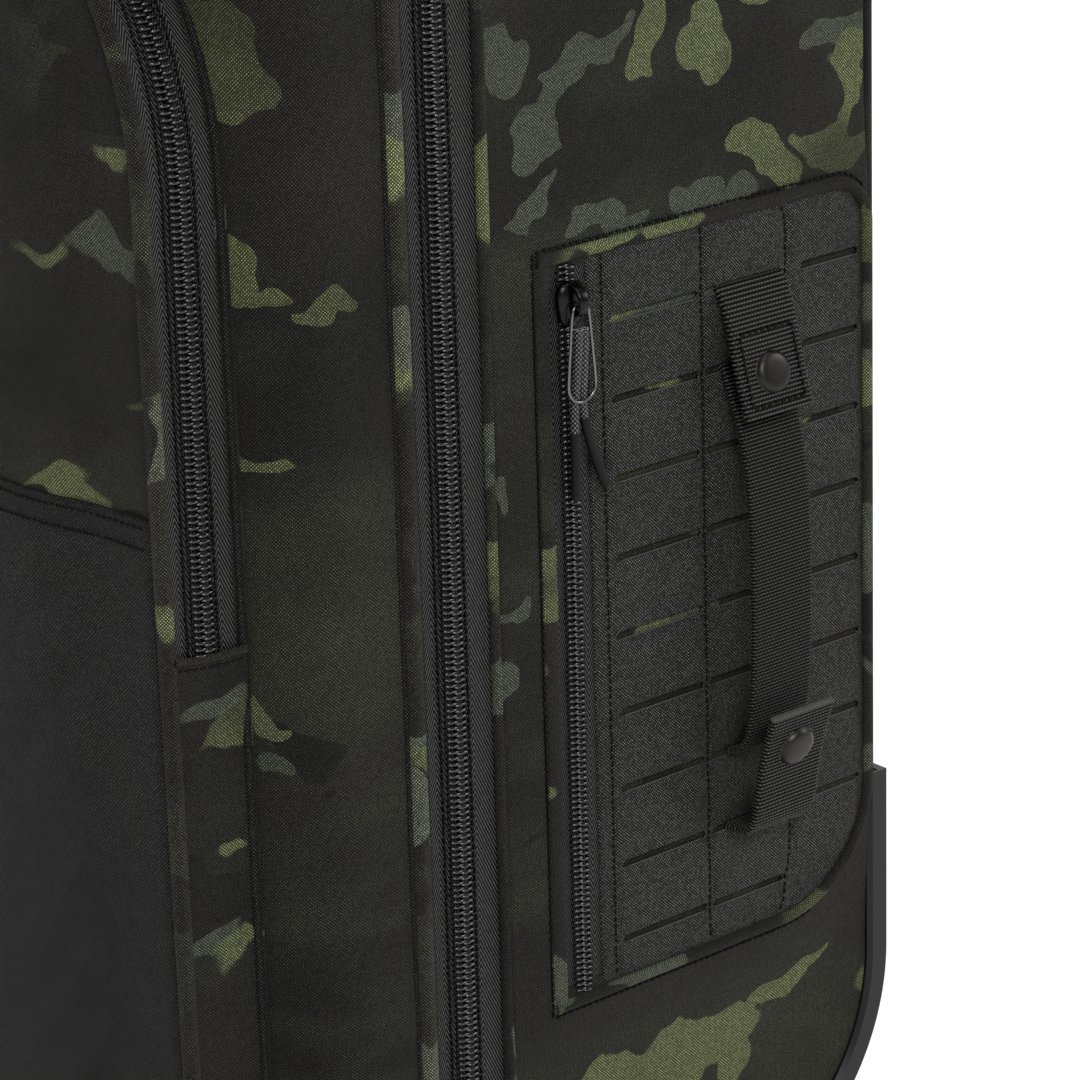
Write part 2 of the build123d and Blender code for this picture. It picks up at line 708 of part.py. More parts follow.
# ------------------------------------------------------------------ write
def main():
    os.makedirs("parts", exist_ok=True)
    save("shell_band", shell_band())
    save("back_panel", back_panel())
    save("frame_sheet", frame_sheet())
    save("lining_wall", lining_wall())
    save("body_zip", body_zip())
    save("lid_zip", lid_zip())
    save("lid_shell", lid_shell())
    save("lower_pocket", lower_pocket())
    save("lower_pocket_zip", lower_pocket_zip())
    save("scuff_panel", scuff_panel())
    pairs = {
        "side_pocket": side_pocket(),
        "side_zip": side_zip(),
        "side_strap": side_strap(),
        "upper_tab": upper_tab(),
        "lower_tab": lower_tab(),
        "wheel_housing": wheel_housing(),
        "tyre": tyre(),
        "hub": hub(),
        "bearings": bearings(),
    }
    for name, shape in pairs.items():
        save(name + "_right", shape)
        save(name + "_left", mirrored(shape))
    save("snap_sockets", snap_sockets())
    save("wheel_axles", wheel_axles())
    save("front_feet", front_feet())
    save("skid_rails", skid_rails())
    save("housing_screws", housing_screws())
    save("outer_tubes", tube_pair(OUTER_TUBE, TUBE_LOW, TUBE_HIGH))
    save("stage_1_tubes", tube_pair(STAGE_1, TUBE_LOW + STEP_UP, GRIP_LOW - 1))
    save("stage_2_tubes", tube_pair(STAGE_2, TUBE_LOW + 2 * STEP_UP, GRIP_LOW + 5))
    save("stage_1_collars", stage_1_collars())
    save("tube_foot", tube_foot())
    save("handle_bezel", handle_bezel())
    save("handle_grip", handle_grip())
    save("handle_button", handle_button())
    save("release_rods", release_rods())
    save("top_handle", top_handle())
    save("bottom_handle", bottom_handle())
    for place, frame in slider_frames().items():
        save(place + "_slider", frame * slider())
        save(place + "_pull", frame * wire_pull())
        save(place + "_cords", frame * pull_cords())


main()
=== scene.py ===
import json
import math
import random

import bpy
import numpy as np
from mathutils import Matrix, Vector
from mathutils.kdtree import KDTree

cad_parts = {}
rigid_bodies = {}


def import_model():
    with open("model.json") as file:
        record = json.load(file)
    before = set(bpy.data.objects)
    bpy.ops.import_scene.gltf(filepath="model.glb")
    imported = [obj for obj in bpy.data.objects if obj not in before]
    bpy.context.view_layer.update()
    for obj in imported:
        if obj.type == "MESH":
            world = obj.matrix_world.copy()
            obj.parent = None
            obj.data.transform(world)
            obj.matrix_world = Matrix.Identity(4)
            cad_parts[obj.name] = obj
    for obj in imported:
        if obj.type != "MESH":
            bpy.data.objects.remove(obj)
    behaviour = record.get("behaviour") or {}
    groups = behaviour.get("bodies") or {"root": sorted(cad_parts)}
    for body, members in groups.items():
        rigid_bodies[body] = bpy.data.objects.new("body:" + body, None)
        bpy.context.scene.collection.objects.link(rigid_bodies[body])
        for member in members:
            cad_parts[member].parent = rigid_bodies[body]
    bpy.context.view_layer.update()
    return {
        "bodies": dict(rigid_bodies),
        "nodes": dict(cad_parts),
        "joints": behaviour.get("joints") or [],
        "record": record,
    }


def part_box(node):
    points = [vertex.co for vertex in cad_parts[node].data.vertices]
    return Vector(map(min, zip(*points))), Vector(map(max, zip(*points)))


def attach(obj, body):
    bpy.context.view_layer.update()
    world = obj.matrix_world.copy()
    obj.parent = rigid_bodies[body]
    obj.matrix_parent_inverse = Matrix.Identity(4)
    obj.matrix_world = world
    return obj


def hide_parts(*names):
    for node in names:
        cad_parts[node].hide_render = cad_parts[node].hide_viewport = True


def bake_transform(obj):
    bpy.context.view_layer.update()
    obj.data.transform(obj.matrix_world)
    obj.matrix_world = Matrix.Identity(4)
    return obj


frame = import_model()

# Looks of the rolling duffel bag. Numbers are millimetres unless a name ends in _M.
MM = 0.001
NODES = frame["nodes"]
PLACES = ("side_right", "side_left", "main_right", "main_left", "pocket")


def extent(node):
    """Lowest and highest corner of a CAD node, in millimetres."""
    low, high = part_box(node)
    return low / MM, high / MM


# ------------------------------------------------------------------ camera
CAMERA_PLACE_M = (1.1605, -0.8231, 0.742)
CAMERA_TURN = math.radians(50.05)
CAMERA_TILT = math.radians(20.0)
CAMERA_ROLL = math.radians(-1.63)


def make_camera():
    """The camera at the photograph's viewing angle."""
    level = Vector((math.cos(CAMERA_TURN), math.sin(CAMERA_TURN), 0))
    forward = Vector((
        -math.sin(CAMERA_TURN) * math.cos(CAMERA_TILT),
        math.cos(CAMERA_TURN) * math.cos(CAMERA_TILT),
        -math.sin(CAMERA_TILT),
    ))
    right = math.cos(CAMERA_ROLL) * level + math.sin(CAMERA_ROLL) * level.cross(forward)
    up = right.cross(forward)
    data = bpy.data.cameras.new("camera")
    data.lens = 150
    data.sensor_width = 36
    data.clip_start = 0.05
    data.clip_end = 50
    camera = bpy.data.objects.new("camera", data)
    camera.matrix_world = Matrix((
        (right.x, up.x, -forward.x, CAMERA_PLACE_M[0]),
        (right.y, up.y, -forward.y, CAMERA_PLACE_M[1]),
        (right.z, up.z, -forward.z, CAMERA_PLACE_M[2]),
        (0, 0, 0, 1),
    ))
    bpy.context.scene.collection.objects.link(camera)
    bpy.context.scene.camera = camera


make_camera()

# ------------------------------------------------------------------ pull cords
CORD_R = 1.1
LOOP_Z = 4.4
STRAIGHT_STRAND = (
    (1.12, 7.0, LOOP_Z + 0.3),
    (1.25, 18.0, LOOP_Z - 0.4),
    (1.5, 32.0, LOOP_Z - 2.2),
    (1.9, 45.0, LOOP_Z - 1.6),
    (1.6, 61.0, LOOP_Z - 2.0),
)
SPLAYED_STRAND = (
    (-1.12, 7.0, LOOP_Z + 0.3),
    (-1.25, 18.0, LOOP_Z - 0.4),
    (-1.5, 32.0, LOOP_Z - 2.2),
    (-4.2, 45.0, LOOP_Z - 1.5),
    (-10.5, 59.5, LOOP_Z - 2.0),
)
FACINGS = {
    "side_right": ((0, -1, 0), (1, 0, 0)),
    "side_left": ((0, 1, 0), (-1, 0, 0)),
    "main_right": ((0, -1, 0), (0, 0, 1)),
    "main_left": ((0, 1, 0), (0, 0, 1)),
    "pocket": ((0, -1, 0), (0, 0, 1)),
}


def slider_frame(place):
    """Origin and axes (across, along the pull, outward) of one slider, in millimetres."""
    across, outward = (np.array(axis, float) for axis in FACINGS[place])
    low, high = (np.array(corner) for corner in extent(place + "_slider"))
    middle = (low + high) / 2
    half = (high - low) / 2
    origin = middle - outward * float(half @ np.abs(outward))
    return origin, np.array([across, np.cross(outward, across), outward])


def to_world(place, points):
    """Points of a slider's own frame, in the bag's frame."""
    origin, axes = slider_frame(place)
    return origin + np.asarray(points, float) @ axes


def cord_curve(name, points):
    """An open NURBS curve through the cord's route."""
    curve = bpy.data.curves.new(name, "CURVE")
    curve.dimensions = "3D"
    spline = curve.splines.new("NURBS")
    spline.points.add(len(points) - 1)
    for knot, point in zip(spline.points, points):
        knot.co = (*(point * MM), 1.0)
    spline.order_u = 3
    spline.use_endpoint_u = True
    curve.resolution_u = 24
    piece = bpy.data.objects.new(name, curve)
    bpy.context.scene.collection.objects.link(piece)
    return piece


def centre_line(piece):
    """Points along a curve's own line, in millimetres."""
    mesh = bpy.data.meshes.new_from_object(piece)
    points = np.array([tuple(v.co) for v in mesh.vertices]) / MM
    bpy.data.meshes.remove(mesh)
    return points


cords = {}
for place in PLACES:
    for label, route in (("straight", STRAIGHT_STRAND), ("splayed", SPLAYED_STRAND)):
        piece = cord_curve(f"{place}_cord_{label}", to_world(place, route))
        cords[place, label] = (piece, centre_line(piece))
        piece.data.bevel_depth = (CORD_R - 0.12) * MM
        piece.data.bevel_resolution = 4
        piece.data.use_fill_caps = True

# ------------------------------------------------------------------ sizes from the frame
BAND_LOW, BAND_HIGH = extent("shell_band")
BACK_LOW, BACK_HIGH = extent("back_panel")
LID_LOW, LID_HIGH = extent("lid_shell")
POCKET_LOW, POCKET_HIGH = extent("lower_pocket")
PANEL_LOW, PANEL_HIGH = extent("side_pocket_right")
SCUFF_LOW, SCUFF_HIGH = extent("scuff_panel")
HALF = BAND_HIGH.x
BASE = BAND_LOW.z
TOP = BAND_HIGH.z
R_LOW = 35.0
R_HIGH = 50.0
HEEL_R = 75.0
HEEL_Y = BACK_HIGH.y - HEEL_R
HEEL_Z = BASE + HEEL_R
SEAM = (extent("body_zip")[0].y + extent("lid_zip")[1].y) / 2
LID_FRONT = LID_LOW.y
LID_EDGE_R = 30.0
LID_RIM_R = 12.0
POCKET_HALF = POCKET_HIGH.x
POCKET_R_HIGH = 100.0
POCKET_R_LOW = 22.0
POCKET_FRONT = POCKET_LOW.y
POCKET_COIL = (extent("lower_pocket_zip")[0].y + extent("lower_pocket_zip")[1].y) / 2
POCKET_ZIP_END = extent("lower_pocket_zip")[0].z
GRID = 25.4
GRID_ZERO = 370.0
GRID_ROWS = 9
SLOT_HALF = 1.35
SLOT_COLUMNS = ((18.0, 53.0), (56.0, 87.6), (96.0, 120.4))
STITCH_COLUMNS = (14.7, 54.5, 89.6)
PANEL_FACE = PANEL_HIGH.x
STRAP_Y = (extent("side_strap_right")[0].y + extent("side_strap_right")[1].y) / 2
STRAP_WIDTH = extent("side_strap_right")[1].y - extent("side_strap_right")[0].y
SIDE_COIL = (extent("side_right_slider")[0].y + extent("side_right_slider")[1].y) / 2
COIL_PITCH = 1.95


# ------------------------------------------------------------------ material nodes
class Paint:
    """Builds one procedural material."""

    def __init__(self, name, roughness=0.6, metallic=0.0, specular=0.5):
        self.material = bpy.data.materials.new(name)
        self.material.use_nodes = True
        self.tree = self.material.node_tree
        self.tree.nodes.clear()
        self.shader = self.add("ShaderNodeBsdfPrincipled")
        self.shader.inputs["Roughness"].default_value = roughness
        self.shader.inputs["Metallic"].default_value = metallic
        self.shader.inputs["Specular IOR Level"].default_value = specular
        output = self.add("ShaderNodeOutputMaterial")
        self.tree.links.new(self.shader.outputs[0], output.inputs[0])
        places = self.add("ShaderNodeTexCoord")
        self.object = places.outputs["Object"]
        self.uv = places.outputs["UV"]

    def add(self, kind, **settings):
        node = self.tree.nodes.new(kind)
        for key, value in settings.items():
            setattr(node, key, value)
        return node

    def put(self, socket, value):
        if isinstance(value, bpy.types.NodeSocket):
            self.tree.links.new(value, socket)
        else:
            socket.default_value = value

    def set(self, name, value):
        self.put(self.shader.inputs[name], value)

    def math(self, operation, first, second=0.0, third=0.0):
        node = self.add("ShaderNodeMath", operation=operation)
        for socket, value in zip(node.inputs, (first, second, third)):
            self.put(socket, value)
        return node.outputs[0]

    def times(self, first, second):
        return self.math("MULTIPLY", first, second)

    def line(self, value, slope, start):
        """slope times the value, plus start."""
        return self.math("MULTIPLY_ADD", value, slope, start)

    def split(self, vector):
        node = self.add("ShaderNodeSeparateXYZ")
        self.put(node.inputs[0], vector)
        return node.outputs

    def join(self, x, y, z):
        node = self.add("ShaderNodeCombineXYZ")
        for socket, value in zip(node.inputs, (x, y, z)):
            self.put(socket, value)
        return node.outputs[0]

    def fill(self, node, **inputs):
        for name, value in inputs.items():
            self.put(node.inputs[name], value)
        return node.outputs

    def vector(self, operation, first, second, output="Vector"):
        node = self.add("ShaderNodeVectorMath", operation=operation)
        self.put(node.inputs[0], first)
        self.put(node.inputs[1], second)
        return node.outputs[output]

    def scaled(self, vector, factor):
        """A vector or colour times a number."""
        node = self.add("ShaderNodeVectorMath", operation="SCALE")
        self.put(node.inputs[0], vector)
        self.put(node.inputs["Scale"], factor)
        return node.outputs[0]

    def mapped(self, vector, shift=(0, 0, 0), scale=(1, 1, 1), turn=(0, 0, 0)):
        node = self.add("ShaderNodeMapping")
        return self.fill(node, Vector=vector, Location=shift, Scale=scale, Rotation=turn)[0]

    def noise(self, vector, scale, detail=2.0, roughness=0.5, colour=False):
        node = self.add("ShaderNodeTexNoise")
        outputs = self.fill(node, Vector=vector, Scale=scale, Detail=detail, Roughness=roughness)
        return outputs["Color" if colour else "Fac"]

    def ramp(self, factor, *stops):
        """Maps a factor to greys or colours given as (place, value) stops."""
        node = self.add("ShaderNodeValToRGB")
        self.put(node.inputs[0], factor)
        elements = node.color_ramp.elements
        while len(elements) < len(stops):
            elements.new(0.5)
        for element, (place, value) in zip(elements, stops):
            element.position = place
            element.color = (*value, 1) if isinstance(value, tuple) else (value, value, value, 1)
        return node.outputs[0]

    def mix(self, factor, first, second, blend="MIX"):
        node = self.add("ShaderNodeMix", data_type="RGBA", blend_type=blend)
        self.put(node.inputs[0], factor)
        for socket, value in ((node.inputs[6], first), (node.inputs[7], second)):
            if isinstance(value, tuple) and len(value) == 3:
                value = (*value, 1)
            self.put(socket, value)
        return node.outputs[2]

    def bump(self, height, distance, strength=1.0, under=None):
        node = self.add("ShaderNodeBump")
        node.inputs["Strength"].default_value = strength
        node.inputs["Distance"].default_value = distance * MM
        self.put(node.inputs["Height"], height)
        if under is not None:
            self.put(node.inputs["Normal"], under)
        return node.outputs[0]


def plain_weave(paint, pitch):
    """Height and painted light of a plain weave, from texture coordinates in millimetres: painted highlights on
    the yarns that lie on top and on every yarn's crown, with random tone per yarn.
    """
    u, v, _ = paint.split(paint.uv)
    yarns = [paint.math("DIVIDE", along, pitch) for along in (u, v)]
    whole = [paint.math("FLOOR", yarn) for yarn in yarns]
    turn = paint.math("FLOORED_MODULO", paint.math("ADD", *whole), 2.0)
    waves_of = (paint.math("SINE", paint.times(yarn, math.pi)) for yarn in yarns)
    crown = paint.times(*(paint.math("ABSOLUTE", wave) for wave in waves_of))
    uneven = paint.add("ShaderNodeTexWhiteNoise", noise_dimensions="2D")
    uneven = paint.fill(uneven, Vector=paint.join(*whole, 0.0))
    # Painted highlight: the yarns on top and the crown of each yarn are lighter; the white noise is the yarns' own
    # random tone.
    light = paint.line(turn, 1.6, 0.12)
    light = paint.times(light, paint.line(paint.math("POWER", crown, 1.5), 1.9, 0.04))
    light = paint.times(light, paint.line(uneven["Value"], 1.0, 0.55))
    height = paint.line(turn, 0.35, crown)
    return height, light


def cloth_finish(paint, sheen, sheen_colour=(0.5, 0.5, 0.5)):
    paint.set("Sheen Weight", sheen)
    paint.set("Sheen Roughness", 0.5)
    paint.set("Sheen Tint", (*sheen_colour, 1))


CAMO_DARK = (0.0060, 0.0057, 0.0048)
CAMO_BROWN = (0.0135, 0.0128, 0.0098)
CAMO_SHADE = (0.026, 0.028, 0.017)
CAMO_GREY = (0.052, 0.058, 0.042)
CAMO_OLIVE = (0.096, 0.110, 0.049)


# Patches on the bag's sides: y, z, half length, half height (mm), turn (degrees).
OLIVE_PATCHES = (
    (45, 92, 40, 13, 3), (-6, 83, 26, 10, 18), (92, 104, 20, 5, 28), (80, 384, 14, 8, -18), (111, 382, 15, 9, 4),
    (121, 398, 5, 18, -6), (36, 428, 7, 12, -12), (61, 416, 7, 14, 12), (60, 130, 15, 5, 20), (88, 436, 18, 8, 0),
    (-109, 438, 12, 24, -8), (-113, 381, 9, 10, 0), (-101, 375, 8, 4, 20), (-83, 371, 11, 4, -6),
    (-112, 324, 14, 4, 0), (-113, 247, 13, 5, 4), (-140, 177, 14, 3, 0),
)
GREY_PATCHES = (
    (54, 374, 8, 13, 12), (66, 368, 14, 5, 10), (-20, 428, 15, 9, -25), (10, 421, 25, 4, 38), (-8, 407, 15, 6, -8),
    (-12, 388, 14, 3, 24), (12, 376, 14, 6, 14), (119, 414, 14, 6, 0), (-26, 240, 6, 7, 0), (-25, 262, 6, 4, 20),
    (-106, 231, 7, 4, -25), (-27, 299, 3, 8, 0), (24, 371, 12, 5, 10),
)
PATCHED_HEIGHT_M = (0.44, 0.48)     # below this, noise shapes are rarer and placed patches show
SIDE_FROM_M = 0.125                 # the patches are on what is further out than this
EDGE_WANDER_M = 0.034               # how far the print's edges wander
CAMO_YARN = 0.53


def camo_cloth(name, shift, amount=0.0, light_gain=1.0, patched=False, strength=1.0):
    """Woven cloth printed with a generic camouflage: noise shapes, and placed patches on the bag's sides."""
    paint = Paint(name, roughness=0.85, specular=0.16)

    def wandering(at, scale):
        wander = paint.vector("SUBTRACT", paint.noise(at, scale, 1.6, 0.5, colour=True), (0.5, 0.5, 0.5))
        return paint.vector("ADD", at, paint.scaled(wander, EDGE_WANDER_M))

    place = paint.mapped(paint.object, shift=shift)
    bent = wandering(place, 42.0)
    quiet = 0.0
    if patched:
        x, _, z = paint.split(paint.object)
        aside = paint.math("GREATER_THAN", paint.math("ABSOLUTE", x), SIDE_FROM_M)
        below = paint.ramp(z, (PATCHED_HEIGHT_M[0], 1.0), (PATCHED_HEIGHT_M[1], 0.0))
        quiet = paint.times(aside, below)

    def shapes(scale, low, offset, squeeze, detail):
        """1 inside shapes that are longer across than upright by the squeeze, and 0 between them."""
        at = paint.mapped(bent, shift=offset, scale=(squeeze, squeeze, 1.0))
        field = paint.line(quiet, -0.15, paint.noise(at, scale, detail, 0.45))
        return paint.ramp(field, (low, 0.0), (low + 0.010, 1.0))

    def patches(rows):
        """1 inside the placed ovals, whose edges wander."""
        _, y, z = paint.split(wandering(paint.object, 48.0))
        best = -1.0
        for row_y, row_z, half, high, turn in rows:
            flat_y = paint.math("SUBTRACT", y, row_y * MM)
            flat_z = paint.math("SUBTRACT", z, row_z * MM)
            at = paint.mapped(paint.join(flat_y, flat_z, 0.0), turn=(0, 0, math.radians(-turn)))
            at = paint.vector("DIVIDE", at, (half * MM, high * MM, 1.0))
            size = paint.vector("DOT_PRODUCT", at, at, "Value")
            best = paint.math("MAXIMUM", paint.math("SUBTRACT", 1.0, size), best)
        inside = paint.ramp(best, (0.0, 0.0), (0.07, 1.0))
        return paint.times(paint.times(inside, quiet), strength)

    soft = paint.noise(paint.mapped(bent, scale=(0.6, 0.6, 1.0)), 9.0, 2.0)
    colour = paint.mix(paint.ramp(soft, (0.38, 0.0), (0.62, 1.0)), CAMO_DARK, CAMO_BROWN)
    haze = paint.noise(paint.mapped(place, shift=(3.1, 0.7, 5.2), scale=(0.45, 0.45, 1.0)), 16.0, 3.0, 0.6)
    fade = paint.ramp(haze, (0.36, 0.35), (0.52, 1.0))
    colour = paint.mix(paint.ramp(haze, (0.50, 0.0), (0.66, 0.7)), colour, CAMO_SHADE)
    colour = paint.mix(shapes(28.0, 0.615 - amount, (1.7, 4.4, 0.9), 0.42, 1.5), colour, CAMO_GREY)
    olive = paint.times(shapes(23.0, 0.620 - amount, (7.3, 2.1, 6.6), 0.45, 1.4), fade)
    colour = paint.mix(olive, colour, CAMO_OLIVE)
    colour = paint.mix(shapes(33.0, 0.575, (4.9, 8.8, 3.5), 0.5, 1.2), colour, CAMO_DARK)
    colour = paint.mix(shapes(30.0, 0.675 - amount, (9.2, 5.5, 1.4), 0.55, 1.2), colour, CAMO_OLIVE)
    if patched:
        colour = paint.mix(patches(GREY_PATCHES), colour, CAMO_GREY)
        colour = paint.mix(paint.times(patches(OLIVE_PATCHES), fade), colour, CAMO_OLIVE)
    height, light = plain_weave(paint, CAMO_YARN)
    # Painted highlight: the weave's painted yarn light, raised by light_gain, scales part of the colour and adds a
    # grey highlight on the yarns; the slow noise varies it at random.
    worn = paint.noise(paint.object, 55.0, 3.0, 0.6)
    light = paint.times(light, paint.line(worn, 0.7, 0.95 * light_gain))
    colour = paint.mix(0.27, paint.scaled(colour, light), colour)
    colour = paint.mix(1.0, colour, paint.scaled((0.0045, 0.0045, 0.0038), light), "ADD")
    paint.set("Base Color", colour)
    cloth_finish(paint, 0.035, (0.55, 0.55, 0.42))
    crease = paint.bump(paint.noise(paint.object, 70.0, 2.0, 0.5), 0.35, 0.35)
    paint.set("Normal", paint.bump(height, 0.16, 0.9, crease))
    return paint.material


def woven_black(name, pitch, level, sheen, roughness=0.62):
    """Plain black nylon cloth."""
    paint = Paint(name, roughness=roughness, specular=0.14)
    height, light = plain_weave(paint, pitch)
    fade = paint.noise(paint.object, 40.0, 3.0, 0.6)
    light = paint.times(light, paint.line(fade, 0.5, 0.95))
    # Painted highlight: the weave's painted yarn light scales the base colour.
    light = paint.times(paint.math("POWER", light, 1.35), 0.9)
    paint.set("Base Color", paint.scaled((level, level * 0.99, level * 0.93), light))
    cloth_finish(paint, sheen)
    paint.set("Normal", paint.bump(height, 0.14, 0.8))
    return paint.material


def herringbone(name, edge, apex, level):
    """Zip tape: ribs in chevrons; u runs across from the coil and v along the zip."""
    paint = Paint(name, roughness=0.6, specular=0.14)
    u, v, _ = paint.split(paint.uv)
    across = paint.math("ABSOLUTE", paint.math("SUBTRACT", paint.math("ABSOLUTE", u), edge + apex))
    along = paint.line(across, 2.19, v)
    phase = paint.times(along, 2 * math.pi / 2.1)
    wave = paint.line(paint.math("SINE", phase), 0.5, 0.5)
    rib = paint.math("POWER", wave, 3.0)
    thread = paint.math("SINE", paint.times(paint.math("SUBTRACT", v, paint.times(across, 1.2)), 9.0))
    rib = paint.times(rib, paint.line(thread, 0.22, 0.85))
    grain = paint.noise(paint.object, 900.0, 1.0)
    # Painted highlight: the rib crests are lighter in the base colour.
    light = paint.times(paint.line(rib, 4.0, 0.01), paint.math("ADD", grain, 0.5))
    paint.set("Base Color", paint.scaled((level, level, level * 0.98), light))
    cloth_finish(paint, 0.015)
    paint.set("Normal", paint.bump(rib, 0.22, 0.9))
    return paint.material


def moulded(name, colour, roughness, grain=0.04, coat=0.0, specular=0.5):
    """Moulded plastic with a fine spark-eroded grain and light rubbing."""
    paint = Paint(name, roughness=roughness, specular=specular)
    fine = paint.noise(paint.object, 1400.0, 2.0, 0.6)
    wide = paint.noise(paint.object, 24.0, 4.0, 0.6)
    tone = paint.line(wide, 0.5, 0.75)
    paint.set("Base Color", paint.scaled(colour, tone))
    paint.set("Roughness", paint.line(wide, 0.22, roughness - 0.11))
    paint.set("Coat Weight", coat)
    paint.set("Normal", paint.bump(fine, grain, 0.6, paint.bump(wide, 0.3, 0.15)))
    return paint.material


def metal(name, colour, roughness, brushed=0.0):
    """Metal with fine upright scratches, deeper where it is brushed."""
    paint = Paint(name, roughness=roughness, metallic=1.0)
    lines = paint.noise(paint.mapped(paint.object, scale=(1, 1, 0.02)), 1800.0, 3.0, 0.7)
    wide = paint.noise(paint.object, 60.0, 3.0, 0.6)
    paint.set("Base Color", paint.scaled(colour, paint.line(lines, 0.3, 0.85)))
    rough = paint.line(lines, 0.12, roughness - 0.06)
    paint.set("Roughness", paint.line(wide, 0.1, paint.math("SUBTRACT", rough, 0.05)))
    paint.set("Normal", paint.bump(lines, 0.02, 0.2 + brushed))
    return paint.material


def thread_paint(name, colour, roughness):
    """Sewing thread or filament."""
    paint = Paint(name, roughness=roughness, specular=0.12)
    twist = paint.noise(paint.object, 1600.0, 2.0)
    paint.set("Base Color", paint.scaled(colour, paint.line(twist, 0.8, 0.6)))
    cloth_finish(paint, 0.0)
    paint.set("Normal", paint.bump(twist, 0.05, 0.6))
    return paint.material


STRAP_RIB = 1.15
TAB_RIB = 1.35
HANDLE_RIB = 1.5
YARN_WIDTH = 1.25
BRAID_ROW = 1.5
BRAID_COLUMNS = 6


def webbing_paint(name, level, rib):
    """Black webbing: the ribs are in the mesh, the yarns that cross them are in the paint, and the ribs' crests
    are painted lighter as a highlight.
    """
    paint = Paint(name, roughness=0.5, specular=0.08)
    u, v, _ = paint.split(paint.uv)
    row = paint.math("DIVIDE", v, rib)
    crest = paint.line(paint.math("COSINE", paint.times(row, 2 * math.pi)), 0.5, 0.5)
    step = paint.times(paint.math("ROUND", row), math.pi)
    yarn = paint.line(paint.math("SINE", paint.line(u, 2 * math.pi / YARN_WIDTH, step)), 0.5, 0.5)
    grain = paint.noise(paint.object, 1100.0, 2.0)
    # Painted highlight on the rib crests.
    light = paint.line(paint.math("POWER", crest, 3.5), 5.2, 0.01)
    light = paint.times(light, paint.line(yarn, 0.9, 0.35))
    light = paint.times(light, paint.math("ADD", grain, 0.5))
    paint.set("Base Color", paint.scaled((level, level * 0.99, level * 0.94), light))
    cloth_finish(paint, 0.012)
    paint.set("Normal", paint.bump(yarn, 0.10, 0.8))
    return paint.material


def braid_paint(name, level):
    """Braided cord: u runs along the cord and v round it."""
    paint = Paint(name, roughness=0.45, specular=0.25)
    u, v, _ = paint.split(paint.uv)
    row = paint.math("COSINE", paint.times(u, 2 * math.pi / BRAID_ROW))
    column = paint.math("COSINE", paint.times(v, BRAID_COLUMNS))
    lay = paint.line(paint.times(row, column), 0.5, 0.5)
    grain = paint.noise(paint.object, 1600.0, 2.0)
    # Painted highlight: the braid's crossings are lighter in the base colour.
    light = paint.line(paint.math("POWER", lay, 4.0), 5.5, 0.02)
    light = paint.times(light, paint.math("ADD", grain, 0.5))
    paint.set("Base Color", paint.scaled((level, level, level), light))
    return paint.material


CAMO_SIDE = camo_cloth("camo_side", (0.13, 0.37, 0.21), amount=0.012, patched=True)
CAMO_LID = camo_cloth("camo_lid", (1.31, 2.27, 0.94), patched=True, strength=0.8)
CAMO_POCKET = camo_cloth("camo_pocket", (2.63, 0.52, 1.78), amount=-0.015)
# Painted highlight: the pipings, the pocket's fold lip, the turned edges and the slot backing are lit copies of
# the camouflage, their yarn light raised by light_gain.
CAMO_PIPING = camo_cloth("camo_piping", (4.43, 3.16, 2.95), amount=0.0, light_gain=1.9)
CAMO_EDGE = camo_cloth("camo_edge", (5.47, 1.93, 0.35), amount=0.0, light_gain=1.15)
CAMO_BACK = camo_cloth("camo_back", (0.77, 3.08, 1.02), amount=0.02)
CAMO_SLOT = camo_cloth("camo_slot", (1.17, 3.61, 0.72), amount=-0.012, light_gain=1.3)
BLACK_PANEL = woven_black("black_panel", 0.54, 0.027, 0.02)
BLACK_PATCH = woven_black("black_patch", 0.6, 0.010, 0.02)
LINING = woven_black("lining_cloth", 0.35, 0.06, 0.10, 0.5)
TAPE_MAIN = herringbone("zip_tape_main", 4.3, 3.0, 0.026)
TAPE_SIDE = herringbone("zip_tape_side", 3.2, 2.6, 0.022)
COIL = moulded("coil_nylon", (0.004, 0.004, 0.0045), 0.24, 0.01, coat=0.3, specular=0.7)
THREAD = thread_paint("black_thread", (0.0022, 0.0022, 0.0022), 0.5)
# Painted highlight: the slots' lower lips are lighter than the panel where light catches them.
LIP_HIGHLIGHT = thread_paint("heat_cut_lip", (0.050, 0.050, 0.048), 0.4)
WEBBING = webbing_paint("black_webbing", 0.012, STRAP_RIB)
WEBBING_TAB = webbing_paint("black_webbing_tab", 0.0155, TAB_RIB)
WEBBING_HANDLE = webbing_paint("black_webbing_handle", 0.024, HANDLE_RIB)
GUARD = moulded("guard_plastic", (0.006, 0.0062, 0.0066), 0.40, 0.03, specular=0.28)
GRIP = moulded("grip_plastic", (0.011, 0.011, 0.012), 0.5, 0.05, specular=0.4)
RUBBER = moulded("tread_rubber", (0.022, 0.022, 0.023), 0.75, 0.08, specular=0.3)
HUB = moulded("hub_plastic", (0.045, 0.046, 0.048), 0.45, 0.03)
SHEET = moulded("sheet_plastic", (0.35, 0.35, 0.34), 0.5, 0.03)
TUBE = metal("tube_metal", (0.10, 0.10, 0.105), 0.34, 0.2)
STEEL = metal("steel", (0.55, 0.55, 0.56), 0.25)
GUNMETAL = metal("gunmetal", (0.034, 0.033, 0.029), 0.40)
BLACK_ZINC = metal("black_zinc", (0.020, 0.020, 0.021), 0.30)
CORD_PAINT = braid_paint("cord_braid", 0.045)
LOOP_METAL = metal("loop_metal", (0.15, 0.15, 0.15), 0.24)
SLEEVE = moulded("shrink_sleeve", (0.006, 0.006, 0.006), 0.55, 0.02, specular=0.16)


